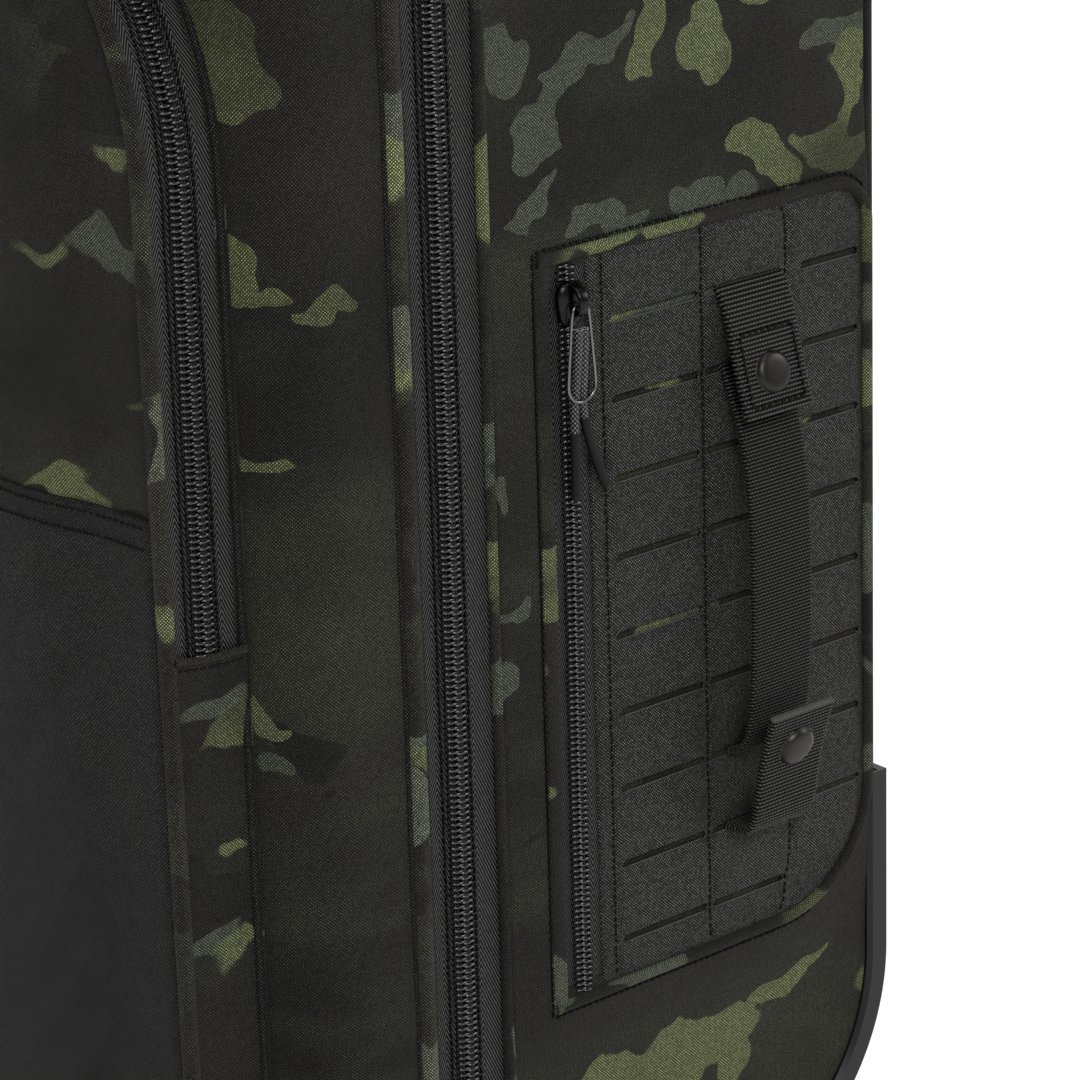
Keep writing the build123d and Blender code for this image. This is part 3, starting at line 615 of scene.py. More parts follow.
# ------------------------------------------------------------------ mesh helpers
class Surface:
    """Collects points and faces, with a texture coordinate in millimetres for each corner."""

    def __init__(self):
        self.points, self.quad_list, self.tex_list, self.kind_list, self.other = [], [], [], [], []
        self.count = 0

    def add(self, points):
        points = np.asarray(points, float)
        flat = points.reshape(-1, 3)
        index = np.arange(self.count, self.count + len(flat)).reshape(points.shape[:-1])
        self.points.append(flat)
        self.count += len(flat)
        return index

    def quads(self, index, tex, kind=0, wrap=(False, False), flip=False, keep=None):
        """Faces between neighbours of an index grid; tex has one more row or column where it wraps."""
        full = np.pad(index, ((0, int(wrap[0])), (0, int(wrap[1]))), mode="wrap")
        corners = ((slice(None, -1), slice(None, -1)), (slice(1, None), slice(None, -1)),
                   (slice(1, None), slice(1, None)), (slice(None, -1), slice(1, None)))
        quad = np.stack([full[c] for c in corners], -1).reshape(-1, 4)
        place = np.stack([tex[c] for c in corners], -2).reshape(-1, 4, 2)
        if keep is not None:
            quad = quad[keep.ravel()]
            place = place[keep.ravel()]
        if flip:
            quad = quad[:, ::-1]
            place = place[:, ::-1]
        self.quad_list.append(quad)
        self.tex_list.append(place)
        self.kind_list.append(np.full(len(quad), kind))

    def cap(self, loop, flip=False):
        self.other.append(list(loop[::-1] if flip else loop))

    def build(self, name, materials):
        mesh = bpy.data.meshes.new(name)
        points = np.concatenate(self.points) * MM
        faces = np.concatenate(self.quad_list).tolist() + self.other
        mesh.from_pydata(points.tolist(), [], faces)
        kinds = [*np.concatenate(self.kind_list).tolist(), *[0] * len(self.other)]
        mesh.polygons.foreach_set("material_index", kinds)
        layer = mesh.uv_layers.new(name="UVMap")
        coords = np.zeros((len(mesh.loops), 2))
        flat = np.concatenate(self.tex_list).reshape(-1, 2)
        coords[:len(flat)] = flat
        layer.data.foreach_set("uv", coords.ravel())
        mesh.shade_smooth()
        mesh.validate()
        return link(name, mesh, materials)


def link(name, mesh, materials):
    """A new object in the scene."""
    for material in materials:
        mesh.materials.append(material)
    piece = bpy.data.objects.new(name, mesh)
    bpy.context.scene.collection.objects.link(piece)
    return piece


def finish_piece(piece, body, slot, *nodes):
    """Mounts a piece on a body and hides the nodes that it replaces; the slot argument is not used."""
    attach(piece, body)
    if nodes:
        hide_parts(*nodes)
    return piece


def mirror_piece(piece, name):
    """The same piece on the left of the bag."""
    mesh = piece.data.copy()
    mesh.name = name
    points = np.zeros(len(mesh.vertices) * 3)
    mesh.vertices.foreach_get("co", points)
    points[::3] *= -1
    mesh.vertices.foreach_set("co", points)
    mesh.flip_normals()
    copy = bpy.data.objects.new(name, mesh)
    bpy.context.scene.collection.objects.link(copy)
    for modifier in piece.modifiers:
        solidify(copy, modifier.thickness / MM, modifier.material_offset)
    return copy


def both_sides(piece, body, slot, *nodes):
    """Mounts a piece on the right and its mirror image on the left."""
    left = mirror_piece(piece, piece.name.replace("right", "left"))
    finish_piece(piece, body, slot, *nodes)
    nodes = [node.replace("right", "left") for node in nodes]
    finish_piece(left, body.replace("right", "left"), slot, *nodes)


def solidify(piece, thickness, inner=0):
    """Gives a sheet its thickness, inwards."""
    modifier = piece.modifiers.new("thickness", "SOLIDIFY")
    modifier.thickness = thickness * MM
    modifier.offset = -1
    modifier.material_offset = inner
    modifier.use_even_offset = True


def bevel(piece, width):
    """Rounds the sharp edges of a hard piece."""
    modifier = piece.modifiers.new("edges", "BEVEL")
    modifier.width = width * MM
    modifier.segments = 3
    modifier.limit_method = "ANGLE"
    modifier.angle_limit = math.radians(32)


def unit(vectors):
    return vectors / np.maximum(np.linalg.norm(vectors, axis=-1, keepdims=True), 1e-9)


def tangents(points, closed=False):
    if closed:
        return unit(np.roll(points, -1, 0) - np.roll(points, 1, 0))
    return unit(np.gradient(points, axis=0))


def lengths(points, closed=False):
    """Distance along a line of points; one more value where it is closed."""
    ends = np.vstack([points, points[:1]]) if closed else points
    return np.concatenate([[0], np.cumsum(np.linalg.norm(np.diff(ends, axis=0), axis=1))])


def line_of(x, y, z):
    """The points of a line from their coordinates, any of which may be one number."""
    return np.stack(np.broadcast_arrays(x, y, z), -1).astype(float)


def at_distances(line, run, at):
    """The values of a line at distances along it, where run holds the distance of each of its points."""
    return np.stack([np.interp(at, run, line[:, k]) for k in range(line.shape[1])], 1)


def resample(points, out, spacing):
    """Evenly spaced stations on a line: points, tangents and outward directions."""
    run = lengths(points)
    count = max(int(round(run[-1] / spacing)), 2)
    stations = run[-1] * (np.arange(count) + 0.5) / count
    ahead = at_distances(points, run, stations + 0.2)
    behind = at_distances(points, run, stations - 0.2)
    facing = at_distances(np.broadcast_to(out, points.shape), run, stations)
    return at_distances(points, run, stations), unit(ahead - behind), unit(facing)


def bend(first, corner, last, steps):
    """A quadratic curve from the first point to the last, without the last."""
    t = np.linspace(0, 1, steps, endpoint=False)[:, None]
    return (1 - t) ** 2 * first + 2 * t * (1 - t) * corner + t ** 2 * last


def smooth_line(points, count):
    """A smooth open line close to a few points: a quadratic B-spline that ends on the first and the last."""
    points = np.asarray(points, float)
    mids = (points[:-1] + points[1:]) / 2
    mids[0] = points[0]
    mids[-1] = points[-1]
    bends = [bend(mids[k - 1], points[k], mids[k], 17) for k in range(1, len(points) - 1)]
    line = np.vstack([*bends, mids[-1:]])
    run = lengths(line)
    return at_distances(line, run, np.linspace(0, run[-1], count))


def smooth_ring(points, count):
    """A smooth closed line near a ring of points."""
    mids = (points + np.roll(points, -1, 0)) / 2
    bends = [bend(*way, 10) for way in zip(mids, np.roll(points, -1, 0), np.roll(mids, -1, 0))]
    line = np.vstack(bends)
    run = lengths(line, closed=True)
    ends = np.vstack([line, line[:1]])
    return at_distances(ends, run, np.linspace(0, run[-1], count, endpoint=False))


def carry(profile, centres, out, closed=False):
    """A profile of (across, outward) points, placed at every point of a line."""
    along = tangents(centres, closed)
    across = unit(np.cross(along, out))
    outward = np.cross(across, along)
    return centres[:, None] + profile[..., :1] * across[:, None] + profile[..., 1:] * outward[:, None]


def grid_tex(rows, columns):
    """Texture coordinates of a grid, from the place of each row and of each column."""
    return np.stack(np.meshgrid(rows, columns, indexing="ij"), -1)[..., ::-1]


def sweep(surface, centres, out, profile, closed=False, radii=None):
    """A closed profile of (across, outward) points, anticlockwise, carried along a line."""
    shape = np.asarray(profile, float)
    ring = lengths(shape, closed=True)
    if radii is not None:
        shape = shape * np.asarray(radii)[:, None, None]
    index = surface.add(carry(shape, centres, out, closed))
    surface.quads(index, grid_tex(lengths(centres, closed), ring), wrap=(closed, True))
    if not closed:
        surface.cap(index[0])
        surface.cap(index[-1], flip=True)


def around(sides):
    """Evenly spaced angles of a full turn."""
    return np.linspace(0, 2 * math.pi, sides, endpoint=False)


def circle(radius, sides, flat=1.0):
    angle = around(sides)
    return np.stack([radius * np.cos(angle), radius * flat * np.sin(angle)], 1)


def squircle(half, high, power, high_power, sides):
    """A rounded rectangle: a circle whose coordinates are raised to a power."""
    way = circle(1.0, sides)
    size = np.abs(way) ** (power, high_power)
    return np.copysign(size, way) * (half, high)


TIP_SHARE = 0.35        # a rod's rounded tip, as a share of its radius


def rod_template(points, radius, sides=6):
    """A short bent rod with rounded ends, in (along, across, outward)."""
    points = np.asarray(points, float)
    along = tangents(points)
    first = unit(points[1] - points[0])
    last = unit(points[-1] - points[-2])
    centres = np.vstack([points[0] - first * radius * 0.7, points, points[-1] + last * radius * 0.7])
    sizes = np.array([TIP_SHARE, *[1.0] * len(points), TIP_SHARE]) * radius
    along = np.vstack([along[:1], along, along[-1:]])
    side = np.cross(along, (0, 0, 1))
    weak = np.linalg.norm(side, axis=1) < 0.3
    side[weak] = np.cross(along[weak], (0, 1, 0)) if weak.any() else side[weak]
    side = unit(side)
    for k in range(1, len(side)):
        if side[k] @ side[k - 1] < 0:
            side[k] = -side[k]
    up = np.cross(side, along)
    angle = around(sides)
    ring = np.cos(angle)[None, :, None] * side[:, None] + np.sin(angle)[None, :, None] * up[:, None]
    verts = centres[:, None] + ring * sizes[:, None, None]
    rows, columns = verts.shape[:2]
    faces = []
    for i in range(rows - 1):
        for j in range(columns):
            k = (j + 1) % columns
            faces.append((i * columns + j, (i + 1) * columns + j, (i + 1) * columns + k, i * columns + k))
    faces.append(tuple(range(columns)))
    faces.append(tuple(range((rows - 1) * columns, rows * columns))[::-1])
    return verts.reshape(-1, 3), faces


def faces_outwards(verts, faces):
    """The faces of a closed shape, turned over where they face inwards."""
    centre = verts.mean(0)
    volume = 0.0
    for face in faces:
        a = verts[face[0]] - centre
        for k in range(1, len(face) - 1):
            volume += a @ np.cross(verts[face[k]] - centre, verts[face[k + 1]] - centre)
    return faces if volume > 0 else [face[::-1] for face in faces]


def replicate(name, template, stations, material, wobble=0.0):
    """Copies of a template at stations on a line, in one mesh; wobble may shift each copy."""
    centres, along, out = stations
    verts, faces = template
    faces = faces_outwards(verts, faces)
    across = unit(np.cross(along, out))
    axes = np.stack([along, across, np.cross(across, along)], 1)
    points = centres[:, None] + np.einsum("kc,ncd->nkd", verts, axes) + wobble
    every = [tuple(v + n * len(verts) for v in face) for n in range(len(centres)) for face in faces]
    mesh = bpy.data.meshes.new(name)
    mesh.from_pydata((points.reshape(-1, 3) * MM).tolist(), [], every)
    mesh.shade_smooth()
    return link(name, mesh, [material])


STITCH_LINE = ((-0.72, 0, -0.35), (-0.5, 0, 0.12), (0, 0, 0.30), (0.5, 0, 0.12), (0.72, 0, -0.35))
STITCH = rod_template(STITCH_LINE, 0.45)
STITCH_PITCH = 2.6
STITCH_JITTER = 0.05


def stitch_line(name, points, out, seed, pitch=STITCH_PITCH):
    """A seam of thread stitches."""
    stations = resample(points, out, pitch)
    wobble = np.random.default_rng(seed).normal(0, STITCH_JITTER, (len(stations[0]), 3))
    return replicate(name, STITCH, stations, THREAD, wobble[:, None])


def coil_template(half, rise, radius):
    """One tooth of a coil zip: it climbs from the tape and bends down past the middle."""
    return rod_template((
        (0.22, half * 0.98, 0.0),
        (0.18, half * 0.93, rise * 0.62),
        (0.10, half * 0.72, rise),
        (0.0, half * 0.34, rise * 1.05),
        (-0.06, half * 0.02, rise * 0.92),
        (-0.10, -half * 0.14, rise * 0.45),
        (-0.12, -half * 0.12, 0.0),
    ), radius, 7)


def join_all(name, pieces):
    """Joins meshes into one piece."""
    mesh = bpy.data.meshes.new(name)
    verts, faces, kinds, materials = [], [], [], []
    for piece in pieces:
        start = len(verts)
        verts.extend(tuple(v.co) for v in piece.data.vertices)
        for material in piece.data.materials:
            if material not in materials:
                materials.append(material)
        for polygon in piece.data.polygons:
            faces.append(tuple(v + start for v in polygon.vertices))
            kinds.append(materials.index(piece.data.materials[polygon.material_index]))
    mesh.from_pydata(verts, [], faces)
    mesh.polygons.foreach_set("material_index", kinds)
    mesh.shade_smooth()
    for piece in pieces:
        old = piece.data
        bpy.data.objects.remove(piece)
        bpy.data.meshes.remove(old)
    return link(name, mesh, materials)


def orient(piece):
    """Turns a closed mesh's faces outwards."""
    mesh = piece.data
    volume = 0.0
    mesh.calc_loop_triangles()
    points = [v.co for v in mesh.vertices]
    for tri in mesh.loop_triangles:
        a, b, c = (points[k] for k in tri.vertices)
        volume += a.dot(b.cross(c))
    if volume < 0:
        mesh.flip_normals()


def closed_piece(surface, name, material):
    """Builds a closed surface of one material with its faces outwards."""
    piece = surface.build(name, [material])
    orient(piece)
    return piece


# ------------------------------------------------------------------ outlines of the bag
HALF_CORNER = 7
ACROSS = 64
UPRIGHT = 132
LOWER = ACROSS + 2 * HALF_CORNER
SIDE = UPRIGHT + 2 * HALF_CORNER
LEFT_FIRST = 2 * LOWER + SIDE + HALF_CORNER
LEFT_LAST = LEFT_FIRST + UPRIGHT


def outline(half, low, high, r_low, r_high):
    """Loop of (x, z) points and outward directions, anticlockwise from the lower left corner's middle."""
    parts = []

    def bow(x, z, radius, start):
        angle = np.radians(np.linspace(start, start + 45, HALF_CORNER, endpoint=False))
        way = np.stack([np.cos(angle), np.sin(angle)], 1)
        parts.append((np.array([x, z]) + radius * way, way))

    def run(first, last, count, way):
        share = np.linspace(0, 1, count, endpoint=False)[:, None]
        line = np.array(first) * (1 - share) + np.array(last) * share
        parts.append((line, np.tile(way, (count, 1)).astype(float)))

    x_low, x_high = half - r_low, half - r_high
    z_low, z_high = low + r_low, high - r_high
    bow(-x_low, z_low, r_low, 225)
    run((-x_low, low), (x_low, low), ACROSS, (0, -1))
    bow(x_low, z_low, r_low, 270)
    bow(x_low, z_low, r_low, 315)
    run((half, z_low), (half, z_high), UPRIGHT, (1, 0))
    bow(x_high, z_high, r_high, 0)
    bow(x_high, z_high, r_high, 45)
    run((x_high, high), (-x_high, high), ACROSS, (0, 1))
    bow(-x_high, z_high, r_high, 90)
    bow(-x_high, z_high, r_high, 135)
    run((-half, z_high), (-half, z_low), UPRIGHT, (-1, 0))
    bow(-x_low, z_low, r_low, 180)
    return np.vstack([part[0] for part in parts]), np.vstack([part[1] for part in parts])


BAG_LOOP = outline(HALF, BASE, TOP, R_LOW, R_HIGH)[0]


def at_depth(loop, y):
    """(x, z) points or directions as 3-D ones, at one depth."""
    return line_of(loop[:, 0], y, loop[:, 1])


def heel_floor(y):
    """Lowest height of the bag at a depth, over its rounded heel."""
    over = np.clip(y - HEEL_Y, 0, HEEL_R)
    return HEEL_Z - math.sqrt(HEEL_R ** 2 - over ** 2)


def bag_section(y, inset=0.0, ends=None):
    """The bag's outline at a depth, drawn inwards by insets at the sides, and at top and bottom."""
    ends = inset if ends is None else ends
    mean = (inset + ends) / 2
    loop, ways = outline(HALF - inset, BASE + ends, TOP - ends, max(R_LOW - mean, 4), max(R_HIGH - mean, 4))
    if y > HEEL_Y:
        loop[:, 1] = np.maximum(loop[:, 1], heel_floor(y) + ends)
    return at_depth(loop, y), at_depth(ways, 0.0)


def ring_tex(loop, lines):
    """Texture coordinates of a ring surface: along the outline, and along the depth lines."""
    return grid_tex(lines, lengths(loop, closed=True))


def coons(surface, loop, shape=None, kind=0, flip=False):
    """Fills a loop of the outline with a grid that shares the loop's points."""
    lower = loop[:LOWER + 1]
    right = loop[LOWER:LOWER + SIDE + 1]
    upper = loop[LOWER + SIDE:2 * LOWER + SIDE + 1][::-1]
    left = np.append(loop[2 * LOWER + SIDE:], loop[0])[::-1]
    known = np.concatenate(surface.points)
    u = np.linspace(0, 1, LOWER + 1)[:, None, None]
    v = np.linspace(0, 1, SIDE + 1)[None, :, None]
    low, high = known[lower][:, None], known[upper][:, None]
    west, east = known[left][None], known[right][None]
    patch = (1 - v) * low + v * high + (1 - u) * west + u * east
    patch = patch - ((1 - u) * (1 - v) * known[loop[0]] + u * (1 - v) * known[loop[LOWER]]
                     + u * v * known[upper[-1]] + (1 - u) * v * known[upper[0]])
    inner = patch[1:-1, 1:-1].copy()
    if shape is not None:
        inner = shape(inner, u[1:-1], v[:, 1:-1])
    grid = np.zeros((LOWER + 1, SIDE + 1), int)
    grid[:, 0] = lower
    grid[:, -1] = upper
    grid[0] = left
    grid[-1] = right
    grid[1:-1, 1:-1] = surface.add(inner)
    surface.quads(grid, patch[..., (0, 2)], kind, flip=flip)


def waves(points, seed, amplitude, size):
    """Soft unevenness: a few slow sine waves with seeded directions."""
    draw = random.Random(seed)
    total = np.zeros(points.shape[:-1])
    for _ in range(7):
        way = np.array([draw.gauss(0, 1), draw.gauss(0, 1), draw.gauss(0, 0.6)])
        total += np.sin(points @ (way / size) * 2 * math.pi + draw.uniform(0, 6.3))
    return amplitude * total / 2.6


def rounding(radius, over):
    """How far a rounded edge falls back, at a distance past the start of its round."""
    return radius - np.sqrt(radius ** 2 - np.clip(over, 0, radius) ** 2)


def smoothstep(low, high, value):
    t = np.clip((value - low) / (high - low), 0, 1)
    return t * t * (3 - 2 * t)


# ------------------------------------------------------------------ main compartment
TAPE_FRONT = extent("side_zip_right")[0].y
PANEL_R_HIGH = 13.0
PANEL_R_LOW = 38.0
SIDE_RISE = 2.2
BAND_SEAM = 125.6
BAND_FRONT = SEAM + 16.4
WELL_CENTRE = (100.0, 38.0)
WELL_HOLE_R = 43.0
WELL_HOLE_X = (134.0, 167.5)
BEZEL_HOLE = (100.7, 93.0, 121.0)


def panel_distance(y, z):
    """Distance outside the rounded area that the side panel and its zip take up."""
    middle = ((TAPE_FRONT + PANEL_HIGH.y) / 2, (PANEL_LOW.z + PANEL_HIGH.z) / 2)
    half = ((PANEL_HIGH.y - TAPE_FRONT) / 2, (PANEL_HIGH.z - PANEL_LOW.z) / 2)
    a = y - middle[0]
    b = z - middle[1]
    corner = np.where(a > 0, np.where(b > 0, PANEL_R_HIGH, PANEL_R_LOW), 2.0)
    qa = np.abs(a) - half[0] + corner
    qb = np.abs(b) - half[1] + corner
    return np.minimum(np.maximum(qa, qb), 0) + np.hypot(np.maximum(qa, 0), np.maximum(qb, 0)) - corner


def side_rise(points, ways):
    """How far the side cloth stands out round the panel, with soft unevenness."""
    gap = panel_distance(points[..., 1], points[..., 2])
    rise = SIDE_RISE * np.exp(-(np.maximum(gap, 0) / 17) ** 2) * smoothstep(-3.0, 0.6, gap)
    on_side = smoothstep(0.9, 1.0, np.abs(ways[..., 0]))
    loose = waves(points, 11, 0.55, 95.0) * smoothstep(4, 22, gap)
    y = points[..., 1]
    edge = smoothstep(BAND_FRONT, BAND_FRONT + 14, y) * smoothstep(BAND_SEAM, BAND_SEAM - 12, y)
    return rise * on_side + loose * edge


def main_cloth():
    """Sides, top and bottom of the main compartment."""
    surface = Surface()
    lines = [*np.linspace(BAND_FRONT, 55.1, 34), 58, 61, 64.5, 68, 71.5, 75, 78.5, 82, 85.5, 89, 93, 96.5, 100,
             104, 108, 112, 116, 118.5, 121, 123.6, BAND_SEAM - 0.4, BAND_SEAM]
    rows = []
    for y in lines:
        points, ways = bag_section(y, 0.0 if y < BAND_SEAM else 1.3)
        points = points + ways * side_rise(points, ways)[:, None]
        rows.append(points)
    grid = np.stack(rows)
    index = surface.add(grid)
    tex = ring_tex(BAG_LOOP, lines)
    ring = np.concatenate([grid, grid[:, :1]], 1)
    middle = (ring[:-1, :-1] + ring[1:, :-1] + ring[1:, 1:] + ring[:-1, 1:]) / 4
    x, y, z = np.abs(middle[..., 0]), middle[..., 1], middle[..., 2]
    in_well = np.hypot(y - WELL_CENTRE[0], z - WELL_CENTRE[1]) < WELL_HOLE_R
    in_well &= (x > WELL_HOLE_X[0]) & (x < WELL_HOLE_X[1])
    in_bezel = (x < BEZEL_HOLE[0]) & (y > BEZEL_HOLE[1]) & (y < BEZEL_HOLE[2]) & (z > TOP - 5)
    surface.quads(index, tex, wrap=(False, True), keep=~(in_well | in_bezel))
    piece = surface.build("main_cloth", [CAMO_SIDE, LINING])
    solidify(piece, 2.2, inner=1)
    return piece


def back_cloth():
    """The back: a camouflage rim and a hard-wearing black panel."""
    surface = Surface()
    sections = ((BAND_SEAM + 0.2, 1.4), (BAND_SEAM + 0.8, 0.35), (127.6, 0.0), (129.4, 0.5), (130.5, 1.7),
                (BACK_HIGH.y, 4.6), (BACK_HIGH.y, 14.0))
    rows = [bag_section(y, inset, inset if inset < 10 else 12.0)[0] for y, inset in sections]
    grid = np.stack(rows)
    index = surface.add(grid)
    tex = ring_tex(BAG_LOOP, np.zeros(len(sections)))
    steps = np.linalg.norm(np.diff(grid, axis=0), axis=2)
    tex[1:, :-1, 1] = np.cumsum(steps, axis=0)
    tex[:, -1, 1] = tex[:, 0, 1]
    surface.quads(index, tex, wrap=(False, True))
    coons(surface, index[-1], kind=1, flip=True)
    piece = surface.build("back_cloth", [CAMO_BACK, BLACK_PATCH])
    solidify(piece, 2.0)
    return piece


def outline_path(y, inset, whole=True):
    """The bag's outline at a depth and its outward directions; not whole, it leaves out the left side."""
    points, ways = bag_section(y, inset)
    if whole:
        return points, ways
    order = np.concatenate([np.arange(LEFT_LAST, len(points)), np.arange(0, LEFT_FIRST + 1)])
    return points[order], ways[order]


def left_path(y, inset):
    """The straight left side of the outline, from above to below."""
    points, ways = bag_section(y, inset)
    side = slice(LEFT_FIRST, LEFT_LAST + 1)
    return points[side], ways[side]


def strip_sheet(name, centres, out, offsets, u_values, material, thickness):
    """A thin strip carried along a line: offsets are (across, outward) pairs."""
    surface = Surface()
    index = surface.add(carry(offsets, centres, out))
    surface.quads(index, grid_tex(lengths(centres), u_values), flip=True)
    piece = surface.build(name, [material])
    solidify(piece, thickness)
    return piece


def tape_offsets(side, near, far, sag=0.35, count=9):
    """Section of a zip tape that dips slightly between the coil and the seam."""
    at = np.linspace(near, far, count)
    dip = -sag * np.sin(np.pi * (at - near) / (far - near))
    if side < 0:
        at, dip = at[::-1], dip[::-1]
    return np.stack([side * at, dip], 1), side * at


def half_coil(name, centres, out, side, size):
    """All the teeth of one half of a coil zip; size is its half width, height and filament's radius."""
    phase = 0.0 if side > 0 else COIL_PITCH / 2
    centre, along, facing = resample(centres, out, COIL_PITCH)
    verts, faces = coil_template(*size)
    return replicate(name, (verts * (1, side, 1), faces), (centre + along * phase, along, facing), COIL)


ZIP_SIZE = (3.85, 1.55, 0.46)
SIDE_ZIP_SIZE = (3.3, 1.35, 0.45)
TAPE_LEVEL = 1.5
TAPE_THICK = 0.5
ZIP_SEAM = 5.6
HINGE_HALF = 14.8
PIPE_FRONT = SEAM - 15.95
PIPE_REAR = SEAM + 16.6


def main_zip():
    """The zip between the lid and the main compartment: tapes, coil, seams and the left cloth hinge."""
    centres, out = outline_path(SEAM, TAPE_LEVEL, whole=False)
    halves = ((1, "bag", "main", "body_zip", 15.8), (-1, "lid", "lid", "lid_zip", 14.6))
    for side, body, label, node, reach in halves:
        offsets, u = tape_offsets(side, 0.25, reach)
        tape = strip_sheet(f"{label}_zip_tape", centres, out, offsets, u, TAPE_MAIN, TAPE_THICK)
        finish_piece(tape, body, "zip_tape", node)
        coil = half_coil(f"{label}_zip_coil", centres, out, side, ZIP_SIZE)
        finish_piece(coil, body, "zip_tape")
        line = centres + np.array([0, side * ZIP_SEAM, 0]) + out * 0.1
        finish_piece(stitch_line(f"{label}_zip_seam", line, out, 5), body, "black_nylon")
    centres, out = left_path(SEAM, 0.9)
    at = np.linspace(-HINGE_HALF, HINGE_HALF, 25)
    bulge = 0.55 * np.cos(at / HINGE_HALF * math.pi / 2) - 0.5
    hinge = strip_sheet("left_hinge", centres, out, np.stack([at, bulge], 1), at, BLACK_PATCH, 0.9)
    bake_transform(hinge)
    for side, body, label in ((1, "bag", "rear"), (-1, "lid", "front")):
        line = centres + np.array([0, side * 10.5, 0]) - out * 0.15
        finish_piece(stitch_line(f"hinge_seam_{label}", line, out, 6), body, "black_nylon")


def pipings():
    """Covered cords along both edges of the main zip."""
    for name, body, y, inset, profile, material in (
        ("main_piping", "bag", PIPE_REAR, 0.75, circle(2.15, 16, 0.8), CAMO_EDGE),
        ("lid_piping", "lid", PIPE_FRONT, 0.1, circle(3.1, 20, 0.95), CAMO_PIPING),
        # Painted shade: two thin dark cords along the lid piping's edges stand in for the shade in the seam
        # valleys beside it.
        ("lid_piping_root_front", "lid", PIPE_FRONT - 3.5, 0.1, circle(0.9, 10), BLACK_PATCH),
        ("lid_piping_root_rear", "lid", PIPE_FRONT + 3.3, 0.1, circle(0.9, 10), BLACK_PATCH),
    ):
        cord = Surface()
        centres, out = outline_path(y, inset)
        sweep(cord, centres, out, profile, closed=True)
        finish_piece(cord.build(name, [material]), body, "camo_fabric")


# ------------------------------------------------------------------ cloth
CLOTH_FRAMES = 20
CLOTH_SETTINGS = {
    "quality": 6,
    "mass": 0.25,
    "tension_stiffness": 12,
    "compression_stiffness": 12,
    "shear_stiffness": 4,
    "bending_stiffness": 0.6,
    "use_pressure": True,
    "uniform_pressure_force": 3.0,
    "shrink_min": -0.012,           # the cloth is a little larger than the space that it covers
    "vertex_group_mass": "held",
}


def positions(piece):
    flat = np.zeros(len(piece.data.vertices) * 3)
    piece.data.vertices.foreach_get("co", flat)
    return flat.reshape(-1, 3)


def set_positions(piece, points):
    piece.data.vertices.foreach_set("co", points.ravel())
    piece.data.update()


def swell(piece, free, cap):
    """Simulates a stuffed cloth, held where free is 0; returns its points before and after, in metres."""
    before = positions(piece)
    held = piece.vertex_groups.new(name="held")
    for k, weight in enumerate(1.0 - np.clip(free, 0, 1)):
        held.add([k], float(weight), "REPLACE")
    cloth = piece.modifiers.new("cloth", "CLOTH")
    for key, value in CLOTH_SETTINGS.items():
        setattr(cloth.settings, key, value)
    cloth.settings.effector_weights.gravity = 0.15
    cloth.collision_settings.use_collision = False
    cloth.point_cache.frame_start = 1
    cloth.point_cache.frame_end = CLOTH_FRAMES
    scene = bpy.context.scene
    for frame in range(1, CLOTH_FRAMES + 1):
        scene.frame_set(frame)
    shaped = piece.evaluated_get(bpy.context.evaluated_depsgraph_get())
    flat = np.zeros(len(before) * 3)
    shaped.data.vertices.foreach_get("co", flat)
    piece.modifiers.remove(cloth)
    scene.frame_set(1)
    move = flat.reshape(-1, 3) - before
    size = np.linalg.norm(move, axis=1)
    limit = cap * MM * np.clip(free, 0, 1)
    scale = limit * np.tanh(size / np.maximum(limit, 1e-9)) / np.maximum(size, 1e-9)
    after = before + move * scale[:, None]
    set_positions(piece, after)
    piece.vertex_groups.clear()
    return before, after


def follow(piece, before, after):
    """Moves a piece with the cloth under it."""
    if np.array_equal(before, after):
        return
    tree = KDTree(len(before))
    for k, point in enumerate(before):
        tree.insert(point, k)
    tree.balance()
    moved = positions(piece)
    for k, point in enumerate(moved.copy()):
        near = tree.find_n(point, 6)
        share = np.array([1.0 / (distance + 0.5 * MM) for _, _, distance in near])
        shift = np.array([after[index] - before[index] for _, index, _ in near])
        moved[k] += share @ shift / share.sum()
    set_positions(piece, moved)


# ------------------------------------------------------------------ lid and front pocket
PULL_REACH = 62.0       # how far above the pocket its pull reaches when it swings up
LID_SWELL = 4.0
POCKET_SWELL = 4.5


def lid_section(y):
    """The lid's outline at a depth: rounded front edges, more at the sides than at the ends."""
    sides, ends = (rounding(r, LID_FRONT + r - y) for r in (LID_EDGE_R, LID_RIM_R))
    return bag_section(y, sides, ends)


def pull_room(points):
    """0 over the pocket, where its pull swings up against the lid, and 1 away from there."""
    above = smoothstep(PULL_REACH, PULL_REACH + 45, points[..., 2] - POCKET_HIGH.z)
    beside = smoothstep(0, 30, np.abs(points[..., 0]) - POCKET_HALF)
    below = smoothstep(POCKET_HIGH.z - 20, POCKET_HIGH.z - 60, points[..., 2])
    return np.maximum(np.maximum(above, beside), below)


def lid_bulge(points, u, v):
    """The lid's front stands out a little."""
    crown = (np.sin(np.pi * u) ** 0.7) * (np.sin(np.pi * v) ** 0.6)
    moved = points.copy()
    moved[..., 1] -= (1.2 + waves(points, 23, 0.5, 120.0)) * crown[..., 0] * pull_room(points)
    return moved


